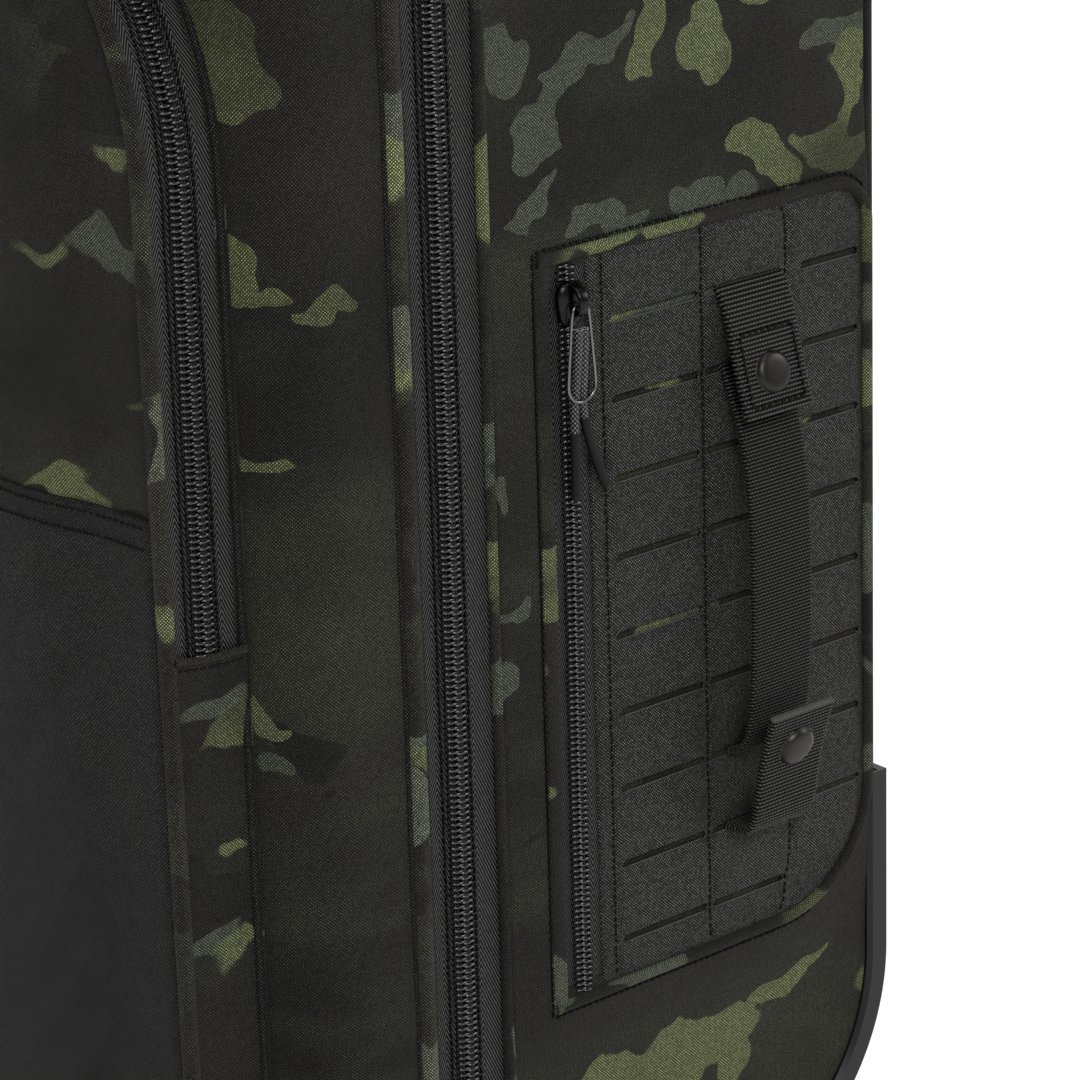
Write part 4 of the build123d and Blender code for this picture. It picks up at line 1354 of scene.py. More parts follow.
def lid_cloth():
    """The lid: sides, rounded front edges and front."""
    surface = Surface()
    start = PIPE_FRONT + 0.3
    flat = np.linspace(start, LID_FRONT + LID_EDGE_R, 9)
    turn = np.radians(np.linspace(0, 90, 17)[1:])
    lines = np.concatenate([flat, LID_FRONT + LID_EDGE_R - LID_EDGE_R * np.sin(turn)])
    along = np.concatenate([-flat, -flat[-1] + LID_EDGE_R * turn])
    rows = []
    for y in lines:
        points, ways = lid_section(y)
        fade = smoothstep(start, start - 12, y)
        rows.append(points + ways * (waves(points, 17, 0.8, 110.0) * fade)[:, None])
    index = surface.add(np.stack(rows))
    surface.quads(index, ring_tex(BAG_LOOP, along), wrap=(False, True), flip=True)
    coons(surface, index[-1], lid_bulge)
    return surface.build("lid_cloth", [CAMO_LID, LINING])


def lid_front_y(x, z):
    """Depth of the lid's front, rounded back towards its sides and its lower end."""
    side = rounding(LID_EDGE_R, LID_EDGE_R - (HALF - np.abs(x)))
    return LID_FRONT + side + rounding(LID_RIM_R, LID_RIM_R - (z - BASE))


def pocket_section(y, inset=0.0):
    low, high = POCKET_LOW.z + inset, POCKET_HIGH.z - inset
    loop, ways = outline(POCKET_HALF - inset, low, high, POCKET_R_LOW - inset, POCKET_R_HIGH - inset)
    return at_depth(loop, y), at_depth(ways, 0.0)


def pocket_front_y(x, z):
    """Depth of the pocket's stuffed front."""
    a = np.clip(np.abs(x) / (POCKET_HALF - 3), 0, 1)
    middle = (POCKET_LOW.z + POCKET_HIGH.z) / 2
    b = np.clip(np.abs(z - middle) / (POCKET_HIGH.z - middle - 3), 0, 1)
    return POCKET_FRONT + 0.6 - 5.5 * (1 - a ** 3.2) * (1 - b ** 3.6)


def pocket_bulge(points, *_):
    """The pocket's stuffed front, with soft unevenness."""
    moved = points.copy()
    moved[..., 1] = pocket_front_y(points[..., 0], points[..., 2]) - waves(points, 31, 0.4, 90.0)
    return moved


def lid_freedom(points):
    """Where the lid's cloth may move: away from the zip, the corners and the pocket's seam."""
    x, y, z = points.T
    over = np.maximum(np.maximum(np.abs(x) - POCKET_HALF, POCKET_LOW.z - z), z - POCKET_HIGH.z)
    corner_x = np.abs(x) - (POCKET_HALF - POCKET_R_HIGH)
    corner_z = z - (POCKET_HIGH.z - POCKET_R_HIGH)
    in_corner = (corner_x > 0) & (corner_z > 0)
    over = np.where(in_corner, np.hypot(corner_x, corner_z) - POCKET_R_HIGH, over)
    front = smoothstep(LID_FRONT + 20, LID_FRONT + 4, y)
    sides = 0.35 * smoothstep(PIPE_FRONT - 2, PIPE_FRONT - 16, y)
    rim = smoothstep(BASE + 2, BASE + 26, z) * smoothstep(TOP - 2, TOP - 26, z)
    clear = smoothstep(4, 34, over) * pull_room(points)
    return np.maximum(front * clear * rim, sides * rim * (1 - front) * smoothstep(-8, 0, over))


def pocket_freedom(points):
    """Where the pocket's front may move."""
    x, y, z = points.T
    a = smoothstep(POCKET_HALF - 5, POCKET_HALF - 36, np.abs(x))
    low = smoothstep(POCKET_LOW.z + 4, POCKET_LOW.z + 36, z)
    corner_x = np.maximum(np.abs(x) - (POCKET_HALF - POCKET_R_HIGH), 0)
    corner_z = np.maximum(z - (POCKET_HIGH.z - POCKET_R_HIGH), 0)
    high = smoothstep(POCKET_R_HIGH - 5, POCKET_R_HIGH - 34, np.hypot(corner_x, corner_z))
    return a * low * high * smoothstep(-131, -134, y)


def pocket_cloth():
    """The pocket's gusset and front."""
    surface = Surface()
    lines = np.array([-100.0, -104, -107, -110, -113, -117, -121, -125, -129, -132, -134.2])
    rows = []
    for k, y in enumerate(lines):
        points = pocket_section(y)[0]
        points[:, 1] = np.minimum(y, lid_front_y(points[:, 0], points[:, 2]) + 1.2 - 0.15 * k)
        rows.append(points)
    rows.append(pocket_section(POCKET_FRONT + 0.9, 1.4)[0])
    rows.append(pocket_section(POCKET_FRONT + 0.5, 4.0)[0])
    index = surface.add(np.stack(rows))
    loop, _ = outline(POCKET_HALF, POCKET_LOW.z, POCKET_HIGH.z, POCKET_R_LOW, POCKET_R_HIGH)
    along = np.concatenate([-lines, [137.0, 139.6]])
    surface.quads(index, ring_tex(loop, along), wrap=(False, True), flip=True)
    coons(surface, index[-1], pocket_bulge)
    return surface.build("pocket_cloth", [CAMO_POCKET, LINING])


def pocket_path(y, inset, above=None):
    """The pocket's outline at a depth; only the part above a height when one is given, from right to left."""
    points, ways = pocket_section(y, inset)
    if above is None:
        return points, ways
    first = LOWER
    last = 2 * LOWER + 2 * SIDE
    order = [k for k in range(first, last) if points[k, 2] > above]
    points, ways = points[order], ways[order]
    ends = (np.array([points[0, 0], y, above]), np.array([points[-1, 0], y, above]))
    return np.vstack([ends[0], points, ends[1]]), np.vstack([ways[0], ways, ways[-1]])


FOLD_DROP = 8.1
POCKET_TAPE_LEVEL = -0.55
RIGHTWARDS = (1.0, 0, 0)


def pocket_zip():
    """The pocket's zip: tapes, coil and seams."""
    centres, out = pocket_path(POCKET_COIL, POCKET_TAPE_LEVEL, POCKET_ZIP_END - 17)
    line, facing = pocket_path(POCKET_COIL, POCKET_TAPE_LEVEL, POCKET_ZIP_END - 11)
    for side, label in ((1, "rear"), (-1, "front")):
        offsets, u = tape_offsets(side, 0.2, 11.6)
        tape = strip_sheet(f"pocket_tape_{label}", centres, out, offsets, u, TAPE_MAIN, TAPE_THICK)
        finish_piece(tape, "lid", "zip_tape", "lower_pocket_zip")
        finish_piece(half_coil(f"pocket_coil_{label}", line, facing, side, ZIP_SIZE), "lid", "zip_tape")
        seam = centres + np.array([0, side * (ZIP_SEAM - 0.1), 0]) + out * 0.1
        finish_piece(stitch_line(f"pocket_seam_{label}", seam, out, 8), "lid", "black_nylon")


def pocket_folds():
    """The folded, stitched edge that the pocket's zip runs under, on both sides."""
    flap = Surface()
    y = np.linspace(-134.6, -108.6, 27)
    share = (y - y[0]) / (y[-1] - y[0])
    top = POCKET_ZIP_END - FOLD_DROP - 5.3 * share + 3.0 * share ** 2
    down = np.array([0, 0.35, 0.9, 1.6, 2.4, 3.2, 4.2, 6, 9, 13, 18, 24, 31, 40])
    lift = np.array([1.05, 1.7, 2.1, 2.25, 2.1, 1.6, 1.85, 1.95, 1.85, 1.65, 1.3, 0.7, -0.2, -1.1])
    points = line_of(POCKET_HALF + lift[:, None], y, top - down[:, None])
    flap.quads(flap.add(points), points[..., 1:])
    lip = Surface()
    sweep(lip, line_of(POCKET_HALF + 2.05, y, top - 0.5), RIGHTWARDS, circle(1.15, 12))
    both_sides(lip.build("fold_lip_right", [CAMO_PIPING]), "lid", "camo_fabric")
    fold = flap.build("pocket_fold_right", [CAMO_POCKET])
    solidify(fold, 1.0)
    both_sides(fold, "lid", "camo_fabric")
    seam = line_of(POCKET_HALF + 1.62, y, top - 3.2)[1:-1]
    both_sides(stitch_line("fold_seam_right", seam, RIGHTWARDS, 9), "lid", "black_nylon")


SCUFF_TOP = SCUFF_HIGH.z - 9.0


def pocket_trim():
    """Piping round the pocket's front, and the smooth wear panel on its lower part."""
    for name, y, inset, profile, material, slot in (
        ("pocket_piping", POCKET_FRONT + 1.1, 0.2, circle(2.7, 16), CAMO_PIPING, "camo_fabric"),
        ("pocket_root_seam", -108.9, -0.2, circle(1.3, 10), BLACK_PATCH, "black_nylon"),
    ):
        cord = Surface()
        centres, out = pocket_path(y, inset)
        sweep(cord, centres, out, profile, closed=True)
        finish_piece(cord.build(name, [material]), "lid", slot)
    plate = Surface()
    x = np.linspace(-1, 1, 75)
    z = np.concatenate([np.linspace(SCUFF_LOW.z - 1.5, SCUFF_TOP - 2, 64), [SCUFF_TOP - 0.8, SCUFF_TOP]])
    low_corner = POCKET_R_LOW - 2
    half = POCKET_HALF - 2.4 - rounding(low_corner, z[0] + low_corner - z)
    points = np.zeros((len(x), len(z), 3))
    points[..., 0] = x[:, None] * half[None]
    points[..., 2] = z[None]
    points[..., 1] = pocket_front_y(points[..., 0], points[..., 2]) - 1.5
    points[:, -1, 1] += 0.7
    index = plate.add(points)
    plate.quads(index, points[..., (0, 2)])
    piece = plate.build("wear_panel", [BLACK_PATCH])
    solidify(piece, 1.1)
    finish_piece(piece, "lid", "black_nylon", "scuff_panel")
    at = np.linspace(-POCKET_HALF + 5, POCKET_HALF - 5, 90)
    for k, drop in enumerate((3.0, 9.4)):
        height = SCUFF_TOP - drop
        line = line_of(at, pocket_front_y(at, height) - 1.55, height)
        finish_piece(stitch_line(f"wear_panel_seam_{k + 1}", line, (0, -1, 0), 12 + k), "lid", "black_nylon")


# ------------------------------------------------------------------ side panel
PANEL_EDGE = 9.4        # y of the panel's front edge
PANEL_OVER = 1.6        # how far the panel reaches under the turned edge round it
PANEL_BEND = 80.0       # behind this y, the grid is drawn in at the rounded corners
PANEL_STEPS = (2.2, 1.9)        # widest steps of the grid in y and z
SLOT_SAMPLES = 40       # points along a slot's edge
CORNER_COLUMN = 100.0   # slots in front of this y clear the rounded lower corner


def panel_rear(z):
    """Rear edge of the panel at a height, with its rounded corners."""
    up = rounding(PANEL_R_HIGH, z - (PANEL_HIGH.z - PANEL_R_HIGH))
    down = rounding(PANEL_R_LOW, PANEL_LOW.z + PANEL_R_LOW - z)
    return PANEL_HIGH.y + PANEL_OVER - up - down


def panel_height(y, z):
    """How far the panel's face stands out from the bag's side: a soft cell between each pair of slot rows."""
    cell = np.mod(z - GRID_ZERO, GRID) / GRID
    puff = 0.95 * np.sin(np.pi * np.clip(cell, 0, 1)) ** 0.8 + 0.45 * (1 - cell)
    pinch = np.ones_like(puff)
    for column in STITCH_COLUMNS:
        pinch = pinch - 0.75 * np.exp(-((y - column) / 1.7) ** 2)
    border = smoothstep(0, 7, panel_rear(z) - y)
    border = border * smoothstep(0, 5, PANEL_HIGH.z + 2 - z) * smoothstep(0, 6, z - PANEL_LOW.z + 2)
    front = smoothstep(PANEL_EDGE - 0.2, PANEL_EDGE + 1.6, y)
    return 1.2 + 0.5 * front + puff * pinch * border * smoothstep(PANEL_EDGE + 2, PANEL_EDGE + 9, y)


SLOT_HEIGHTS = [GRID_ZERO - GRID * row for row in range(1, GRID_ROWS + 1)]
SLOTS = [(first, last, z) for z in SLOT_HEIGHTS for first, last in SLOT_COLUMNS
         if z > SLOT_HEIGHTS[-1] or last < CORNER_COLUMN]      # the rounded corner cuts off the last one


def refine(marks, step):
    """Grid lines that pass through every mark, at most a step apart."""
    marks = sorted(set(marks))
    lines = []
    for first, last in zip(marks, marks[1:]):
        count = max(int(math.ceil((last - first) / step)), 1)
        lines.extend(np.linspace(first, last, count, endpoint=False))
    return np.array([*lines, marks[-1]])


def panel_place(y, z):
    """A grid point's y drawn in where the panel's rear corners are rounded."""
    pull = (panel_rear(z) - PANEL_BEND) / (PANEL_HIGH.y + PANEL_OVER - PANEL_BEND)
    return np.where(y > PANEL_BEND, PANEL_BEND + (y - PANEL_BEND) * pull, y)


def panel_grid():
    """Grid lines through every slot's edges and every seam."""
    y_marks = [PANEL_EDGE, PANEL_EDGE + 0.5, PANEL_EDGE + 1.2, PANEL_HIGH.y + PANEL_OVER]
    for first, last in SLOT_COLUMNS:
        y_marks += [first, first + 0.8, last - 0.8, last]
    for column in STITCH_COLUMNS:
        y_marks += [column - 1.0, column, column + 1.0]
    z_marks = [PANEL_LOW.z - PANEL_OVER, PANEL_HIGH.z + PANEL_OVER]
    for z in SLOT_HEIGHTS:
        z_marks += [z - SLOT_HALF, z + SLOT_HALF, z - SLOT_HALF - 0.7, z + SLOT_HALF + 0.7]
    lines = [refine(marks, step) for marks, step in zip((y_marks, z_marks), PANEL_STEPS)]
    return np.meshgrid(*lines, indexing="ij")


def side_panel():
    """The slotted panel."""
    y, z = panel_grid()
    mid_y = (y[:-1, :-1] + y[1:, 1:]) / 2
    mid_z = (z[:-1, :-1] + z[1:, 1:]) / 2
    keep = np.ones(mid_y.shape, bool)
    for first, last, height in SLOTS:
        keep &= ~((mid_y > first) & (mid_y < last) & (np.abs(mid_z - height) < SLOT_HALF))
        for edge in (first, last):
            for side in (-1, 1):
                corner = (np.abs(y - edge) < 1e-6) & (np.abs(z - (height + side * SLOT_HALF)) < 1e-6)
                z = np.where(corner, height + side * SLOT_HALF * 0.45, z)
    points = on_panel(y, z)
    surface = Surface()
    index = surface.add(points)
    surface.quads(index, points[..., 1:], keep=keep)
    panel = surface.build("side_panel_right", [BLACK_PANEL])
    solidify(panel, 1.0)
    return panel


def on_panel(y, z, lift=0.0):
    """Points of the panel's face, or above it, from places on its straight grid."""
    placed = panel_place(y, z)
    return line_of(HALF + panel_height(placed, z) + lift, placed, z)


def slot_edges():
    """The heat-cut lower edge of every slot, painted lighter as a highlight, and the camouflage cloth behind it, a
    lit copy of the camouflage.
    """
    edges = Surface()
    ends = np.clip(np.minimum(np.arange(SLOT_SAMPLES), np.arange(SLOT_SAMPLES)[::-1]) / 3.0, 0.3, 1)
    for first, last, height in SLOTS:
        rim_z = height - SLOT_HALF + 0.05
        place = panel_place(np.linspace(first + 0.5, last - 0.5, SLOT_SAMPLES), height)
        line = line_of(HALF + panel_height(place, rim_z) - 0.05, place, rim_z)
        sweep(edges, line, RIGHTWARDS, circle(0.27, 6), radii=ends)
        back_z = height + np.array([SLOT_HALF + 1.4, SLOT_HALF, 0.3, -SLOT_HALF, -SLOT_HALF - 1.2])
        back_y = np.linspace(first - 0.6, last + 0.6, 30)
        depth = np.array([2.3, 2.1, 1.25, 0.75, 1.1])
        sheet = on_panel(*np.meshgrid(back_y, back_z, indexing="ij"), -depth)
        front = edges.add(sheet)
        back = edges.add(sheet - np.array([0.35, 0, 0]))
        edges.quads(front, sheet[..., 1:], kind=1)
        edges.quads(back, sheet[..., 1:], kind=1, flip=True)
        both = np.stack([front, back], -1)
        rim = np.concatenate([both[:, 0], both[-1, 1:], both[-2::-1, -1], both[0, -2:0:-1]])
        edges.quads(rim, np.zeros((len(rim) + 1, 2, 2)), kind=1, wrap=(True, False), flip=True)
    return edges.build("slot_edges_right", [LIP_HIGHLIGHT, CAMO_SLOT])


def column_seams():
    """The upright seams between the slots."""
    z = np.linspace(PANEL_HIGH.z - 1, PANEL_LOW.z + 2, 240)
    seams = []
    for k, column in enumerate(STITCH_COLUMNS):
        line = on_panel(np.full(len(z), column), z, 0.02)
        seams.append(stitch_line(f"column_seam_{k}", line, RIGHTWARDS, 20 + k, 2.5))
    return join_all("panel_seams_right", seams)


BORDER_TOP = 60         # points of the border's top run


def panel_border(gap, lift):
    """A line round the panel's top, rear and bottom at a distance outside it, from its front top end."""
    rear = PANEL_HIGH.y + gap
    high = PANEL_HIGH.z + gap
    low = PANEL_LOW.z - gap
    r_high = PANEL_R_HIGH + gap
    r_low = PANEL_R_LOW + gap
    front = TAPE_FRONT + 0.4

    def corner(radius, z, start, count):
        turn = np.radians(np.linspace(start, start - 90, count, endpoint=False))
        return rear - radius + radius * np.cos(turn), z + radius * np.sin(turn)

    top = np.linspace(front, rear - r_high, BORDER_TOP, endpoint=False)
    side = np.linspace(high - r_high, low + r_low, 90, endpoint=False)
    bottom = np.linspace(rear - r_low, front, 50)
    upper = corner(r_high, high - r_high, 90, 16)
    lower = corner(r_low, low + r_low, 0, 28)
    runs = ((top, high), upper, (rear, side), lower, (bottom, low))
    return np.concatenate([line_of(lift, *run) for run in runs])


def side_edges():
    """The turned camouflage edge round the panel and in front of its zip, with topstitching."""
    surface = Surface()
    sweep(surface, panel_border(1.75, HALF + 2.45), RIGHTWARDS, circle(1.95, 16, 0.86))
    z = np.linspace(PANEL_HIGH.z + 3.2, PANEL_LOW.z - 3.2, 120)
    front = line_of(HALF + 2.05, TAPE_FRONT + 2.7 + 0.15 * np.sin(z / 31), z)
    sweep(surface, front, RIGHTWARDS, circle(3.0, 18, 0.36))
    edge = surface.build("panel_edge_right", [CAMO_EDGE])
    border = panel_border(4.7, HALF + SIDE_RISE + 0.06)
    z = np.linspace(PANEL_HIGH.z + 4.5, PANEL_LOW.z - 4.5, 160)
    upright = line_of(HALF + SIDE_RISE + 0.1, TAPE_FRONT - 0.6, z)
    lines = ((border[:BORDER_TOP + 10], 30), (border[-56:], 31), (upright, 33))
    seams = [stitch_line(f"top_stitch_{k}", line, RIGHTWARDS, seed) for k, (line, seed) in enumerate(lines)]
    return edge, join_all("edge_seams_right", seams)


def side_zip():
    """Tapes and coil of the upright zip in front of the panel."""
    z = np.linspace(PANEL_HIGH.z - 0.5, PANEL_LOW.z + 0.5, 130)
    centres = line_of(HALF + 0.75, SIDE_COIL + 0.25 * np.sin(z / 37), z)
    pieces = []
    for side, reach in ((1, 9.0), (-1, 9.6)):
        offsets, u = tape_offsets(side, 0.15, reach, 0.2, 7)
        pieces.append(strip_sheet(f"side_tape_{side}", centres, RIGHTWARDS, offsets, u, TAPE_SIDE, 0.4))
        pieces.append(half_coil(f"side_coil_{side}", centres, RIGHTWARDS, side, SIDE_ZIP_SIZE))
    return pieces


# ------------------------------------------------------------------ webbing
RIB_SAMPLES = 5         # rings of the mesh per rib
EDGE_LOOP = 0.16        # how far the weft's loops stand out at the edges


def webbing(name, line, out, width, thick, material, rib, depth):
    """Woven webbing with real ribs and looped edges along a smooth line."""
    run = lengths(line)
    at = np.linspace(0, run[-1], int(run[-1] / (rib / RIB_SAMPLES)) + 2)
    centres = at_distances(line, run, at)
    facing = unit(at_distances(out, run, at))
    half = width / 2
    edge = thick / 2
    turn = np.radians(np.linspace(90, 270, 7)[1:-1])
    cos, sin = np.cos(turn), np.sin(turn)
    flat = np.linspace(half - edge, -half + edge, 20)
    upper = [line_of(flat, edge, 0), line_of(-half + edge + edge * cos, edge * sin, cos)]
    ways = np.concatenate([np.ones(len(flat)), sin])
    place_a, place_o, way_a = np.concatenate([*upper, *(-part for part in upper)]).T
    way_o = np.concatenate([ways, -ways])
    wave = np.cos(2 * math.pi * at / rib)[:, None]
    lift = depth * wave * (1 - 0.25 * np.cos(place_a * 2 * math.pi / 3.1))
    loops = EDGE_LOOP * wave * (np.abs(way_a) > 0.1)
    section = np.stack([place_a + way_a * (lift * 0.3 + loops), place_o + way_o * lift], -1)
    surface = Surface()
    index = surface.add(carry(section, centres, facing))
    surface.quads(index, grid_tex(at, np.append(place_a, place_a[0])), wrap=(False, True))
    surface.cap(index[0])
    surface.cap(index[-1], flip=True)
    return closed_piece(surface, name, material)


def in_profile(line, y, count):
    """A strip's centre line and facing, from (x, z) points."""
    path = smooth_line(line, count)
    points = line_of(path[:, 0], y, path[:, 1])
    along = tangents(points)
    return points, line_of(-along[:, 2], 0, along[:, 0])


def off_panel(points):
    return [(PANEL_FACE + out, GRID_ZERO + up) for out, up in points]


# Lines of the strap and the tabs, as (out, up) from the panel's face and the top of the grid.
STRAP_LINE = (
    (-2.2, -50.4), (0.4, -51.2), (2.4, -57.0), (7.4, -68.0), (11.2, -86.0), (12.6, -104.0),
    (12.8, -130.0), (12.2, -150.0), (11.0, -163.0), (8.6, -172.5), (3.0, -177.2), (-2.2, -178.2),
)
UPPER_TAB_LINE = ((-1.6, -25.6), (1.2, -27.4), (5.0, -38.0), (8.2, -52.6), (12.6, -65.0))
LOWER_TAB_LINE = (
    (-1.2, -203.2), (4.0, -203.6), (9.6, -202.2), (13.0, -196.0), (14.6, -186.0), (17.0, -173.6),
    (21.8, -160.4),
)
# Press studs, as (out, up, tilt in degrees); their profiles are (radius, height).
UPPER_CAP = (9.0, -52.6, -17)
LOWER_CAP = (18.2, -173.4, 19)
UPPER_SOCKET = (3.3, -54.5, -17)
LOWER_SOCKET = (9.5, -170.0, 19)
CAP_PROFILE = (
    (0.0, 2.95), (1.6, 2.94), (3.2, 2.88), (4.6, 2.74), (5.4, 2.52), (5.9, 2.20), (6.3, 1.75), (6.6, 1.2),
    (6.8, 0.85), (7.1, 0.72), (7.2, 0.5), (7.1, 0.25), (6.75, 0.02), (6.2, -0.25), (4.0, -0.3), (0.0, -0.3),
)
SOCKET_PROFILE = (
    (0.0, 0.5), (1.7, 0.5), (1.9, 1.4), (2.3, 1.7), (3.0, 1.6), (4.1, 1.1), (4.5, 0.6), (4.5, 0.1),
    (0.0, 0.0),
)


def lathe(name, profile, origin, axis, material, sides=56):
    """A turned piece about an axis, from (radius, height) points."""
    axis = unit(np.array(axis, float))
    side = unit(np.cross(axis, (0, 1, 0)))
    other = np.cross(axis, side)
    angle = around(sides)
    ring = np.cos(angle)[:, None] * side + np.sin(angle)[:, None] * other
    closed = profile[0][0] > 1e-6
    surface = Surface()
    inner = profile if closed else profile[1:-1]
    points = np.array([[origin + axis * h + r * way for r, h in inner] for way in ring])
    index = surface.add(points)
    turn = np.arange(sides + 1) * (2 * math.pi / sides) * 5.0
    rows = lengths(np.array(inner, float), closed)
    surface.quads(index, grid_tex(turn, rows)[..., ::-1], wrap=(True, closed), flip=True)
    if not closed:
        for row, (_, height), flip in ((0, profile[0], False), (-1, profile[-1], True)):
            tip = surface.add([origin + axis * height])[0]
            for k in range(sides):
                face = [index[k, row], index[(k + 1) % sides, row], tip]
                surface.cap(face, flip)
    return closed_piece(surface, name, material)


def stud(name, place, profile):
    """A part of a press stud."""
    out, up, tilt = place
    turn = math.radians(tilt)
    axis = (math.cos(turn), 0, -math.sin(turn))
    return lathe(name, profile, np.array([PANEL_FACE + out, STRAP_Y, GRID_ZERO + up]), axis, GUNMETAL)


def box_stitch(name, points, out, first, last, half, seed):
    """A box of stitches on webbing, between two distances along it."""
    run = lengths(points)
    share = np.linspace(0, 1, 20)
    seams = []
    corners = ((first, -half), (last, -half), (last, half), (first, half), (first, -half))
    for k, (start, end) in enumerate(zip(corners, corners[1:])):
        distance, across = (a + (b - a) * share for a, b in zip(start, end))
        way = unit(at_distances(out, run, distance))
        line = at_distances(points, run, distance) + line_of(0, across, 0) + way * 0.02
        seams.append(stitch_line(f"{name}_{k}", line, way, seed + k))
    return join_all(name, seams)


def strap_set():
    """The right side's handle strap, tabs, press studs and their stitches."""
    points, out = in_profile(off_panel(STRAP_LINE), STRAP_Y, 220)
    strap = webbing("side_strap_cloth_right", points, out, STRAP_WIDTH - 0.4, 1.9, WEBBING, STRAP_RIB, 0.24)
    both_sides(strap, "bag", "webbing", "side_strap_right")
    for label, line, cap, first, last, wider in (
        ("upper", UPPER_TAB_LINE, UPPER_CAP, 17.0, 40.0, 2.6),
        ("lower", LOWER_TAB_LINE, LOWER_CAP, 26.0, 51.0, 1.0),
    ):
        body = f"{label}_tab_right"
        points, out = in_profile(off_panel(line), STRAP_Y, 160)
        width = STRAP_WIDTH + wider
        tab = webbing(f"{label}_tab_cloth_right", points, out, width, 2.6, WEBBING_TAB, TAB_RIB, 0.18)
        both_sides(tab, body, "webbing", body)
        both_sides(stud(f"{label}_cap_right", cap, CAP_PROFILE), body, "gunmetal")
        seam = box_stitch(f"{label}_tab_seam_right", points + out * 1.45, out, first, last, 10.8, 40)
        both_sides(seam, body, "black_nylon")
    for label, socket in (("upper", UPPER_SOCKET), ("lower", LOWER_SOCKET)):
        both_sides(stud(f"{label}_socket_right", socket, SOCKET_PROFILE), "bag", "gunmetal")
    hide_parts("snap_sockets")


# ------------------------------------------------------------------ sliders, pulls and cords
SLIDER_FOOT = -0.5
SLIDER_STATIONS = (     # y, half width, height
    (-6.5, 2.4, 0.9), (-6.2, 3.6, 1.5), (-5.2, 4.8, 2.0), (-3.2, 5.25, 2.3), (-0.5, 5.2, 2.45),
    (2.4, 4.7, 2.3), (4.8, 4.1, 1.9), (6.1, 3.4, 1.4), (6.5, 2.6, 0.8),
)
WIRE_SIDE = ((1.6, 0.0), (2.4, 0.25), (3.0, 1.1), (3.35, 2.6), (3.9, 9.0), (4.7, 17.0), (5.3, 23.0))
WIRE_TURN = 5.4         # radius of the wire loop's lower end, about y = WIRE_END
WIRE_END = 24.4
CORD_OUT = unit(np.array([0.31, 0.17, 0.94]))


def slider_body():
    """A slider's rounded body in its own frame."""
    angle = np.linspace(0, math.pi, 15)
    rows = []
    for y, half, high in SLIDER_STATIONS:
        rise = high - SLIDER_FOOT
        arch = [(half * math.cos(t), y, SLIDER_FOOT + rise * math.sin(t) ** 0.8) for t in angle]
        rows.append(arch + [(-half * 0.6, y, SLIDER_FOOT), (half * 0.6, y, SLIDER_FOOT)])
    surface = Surface()
    index = surface.add(np.array(rows))
    surface.quads(index, np.zeros((len(rows), index.shape[1] + 1, 2)), wrap=(False, True))
    surface.cap(index[0])
    surface.cap(index[-1], flip=True)
    return surface


def slider_hood():
    """The arch over a slider that holds its wire loop."""
    arch = smooth_line(((-5.6, 1.4), (-5.0, 4.4), (-2.6, 6.25), (0.6, 6.2), (2.6, 4.6), (3.4, 1.6)), 40)
    line = line_of(0, arch[:, 0], arch[:, 1])
    along = tangents(line)
    width = np.interp(np.linspace(0, 1, 40), (0, 0.3, 0.7, 1), (1.25, 1.1, 0.95, 1.05))
    section = squircle(1.75, 0.72, 0.55, 0.8, 28)
    surface = Surface()
    sweep(surface, line, line_of(0, -along[:, 2], along[:, 1]), section, radii=width)
    return surface


def wire_loop():
    """A pull's bent wire loop in its slider's frame."""
    turn = np.radians(np.linspace(180, 0, 17)[1:-1])
    lower = zip(WIRE_TURN * np.cos(turn), WIRE_END + WIRE_TURN * np.sin(turn))
    path = np.array([*((-x, y) for x, y in WIRE_SIDE), *lower, *WIRE_SIDE[::-1]])
    ring = smooth_ring(line_of(path[:, 0], path[:, 1], LOOP_Z), 200)
    surface = Surface()
    sweep(surface, ring, (0, 0, 1.0), circle(0.48, 12), closed=True)
    return surface


def placed_copy(surface, name, place, material):
    """A slider part moved from its own frame to its place."""
    moved = Surface()
    moved.count = surface.count
    moved.points = [to_world(place, np.concatenate(surface.points))]
    moved.quad_list = surface.quad_list
    moved.tex_list = surface.tex_list
    moved.kind_list = surface.kind_list
    moved.other = surface.other
    return closed_piece(moved, name, material)


def braid(name, line, last):
    """The braided sheath of a cord, up to a share of its length."""
    run = lengths(line)
    at = np.linspace(0, last, 260) * run[-1]
    angle = around(40)
    lay = np.cos(2 * math.pi * at[:, None] / BRAID_ROW) * np.cos(BRAID_COLUMNS * angle[None])
    radius = CORD_R + 0.26 + 0.08 * lay
    ring = np.stack([np.cos(angle), np.sin(angle)], -1)
    surface = Surface()
    index = surface.add(carry(radius[..., None] * ring, at_distances(line, run, at), CORD_OUT))
    surface.quads(index, grid_tex(at, np.append(angle, 2 * math.pi))[..., ::-1], wrap=(False, True))
    surface.cap(index[0])
    surface.cap(index[-1], flip=True)
    return closed_piece(surface, name, CORD_PAINT)


def sleeve(name, line, first):
    """The shrunk sleeve over the end of a cord: tapered, with a rounded tip."""
    run = lengths(line)
    share = np.concatenate([np.linspace(0, 0.06, 5), np.linspace(0.1, 0.94, 26), np.linspace(0.96, 1.0, 6)])
    at = (first + share * (1.0 - first)) * run[-1]
    radius = np.interp(share, (0, 0.02, 0.05, 0.12, 0.5, 0.85, 0.94, 0.97, 0.99, 1.0),
                       (1.3, 1.48, 1.55, 1.56, 1.58, 1.66, 1.68, 1.5, 1.1, 0.4))
    surface = Surface()
    sweep(surface, at_distances(line, run, at), CORD_OUT, circle(1.0, 20), radii=radius)
    return closed_piece(surface, name, SLEEVE)


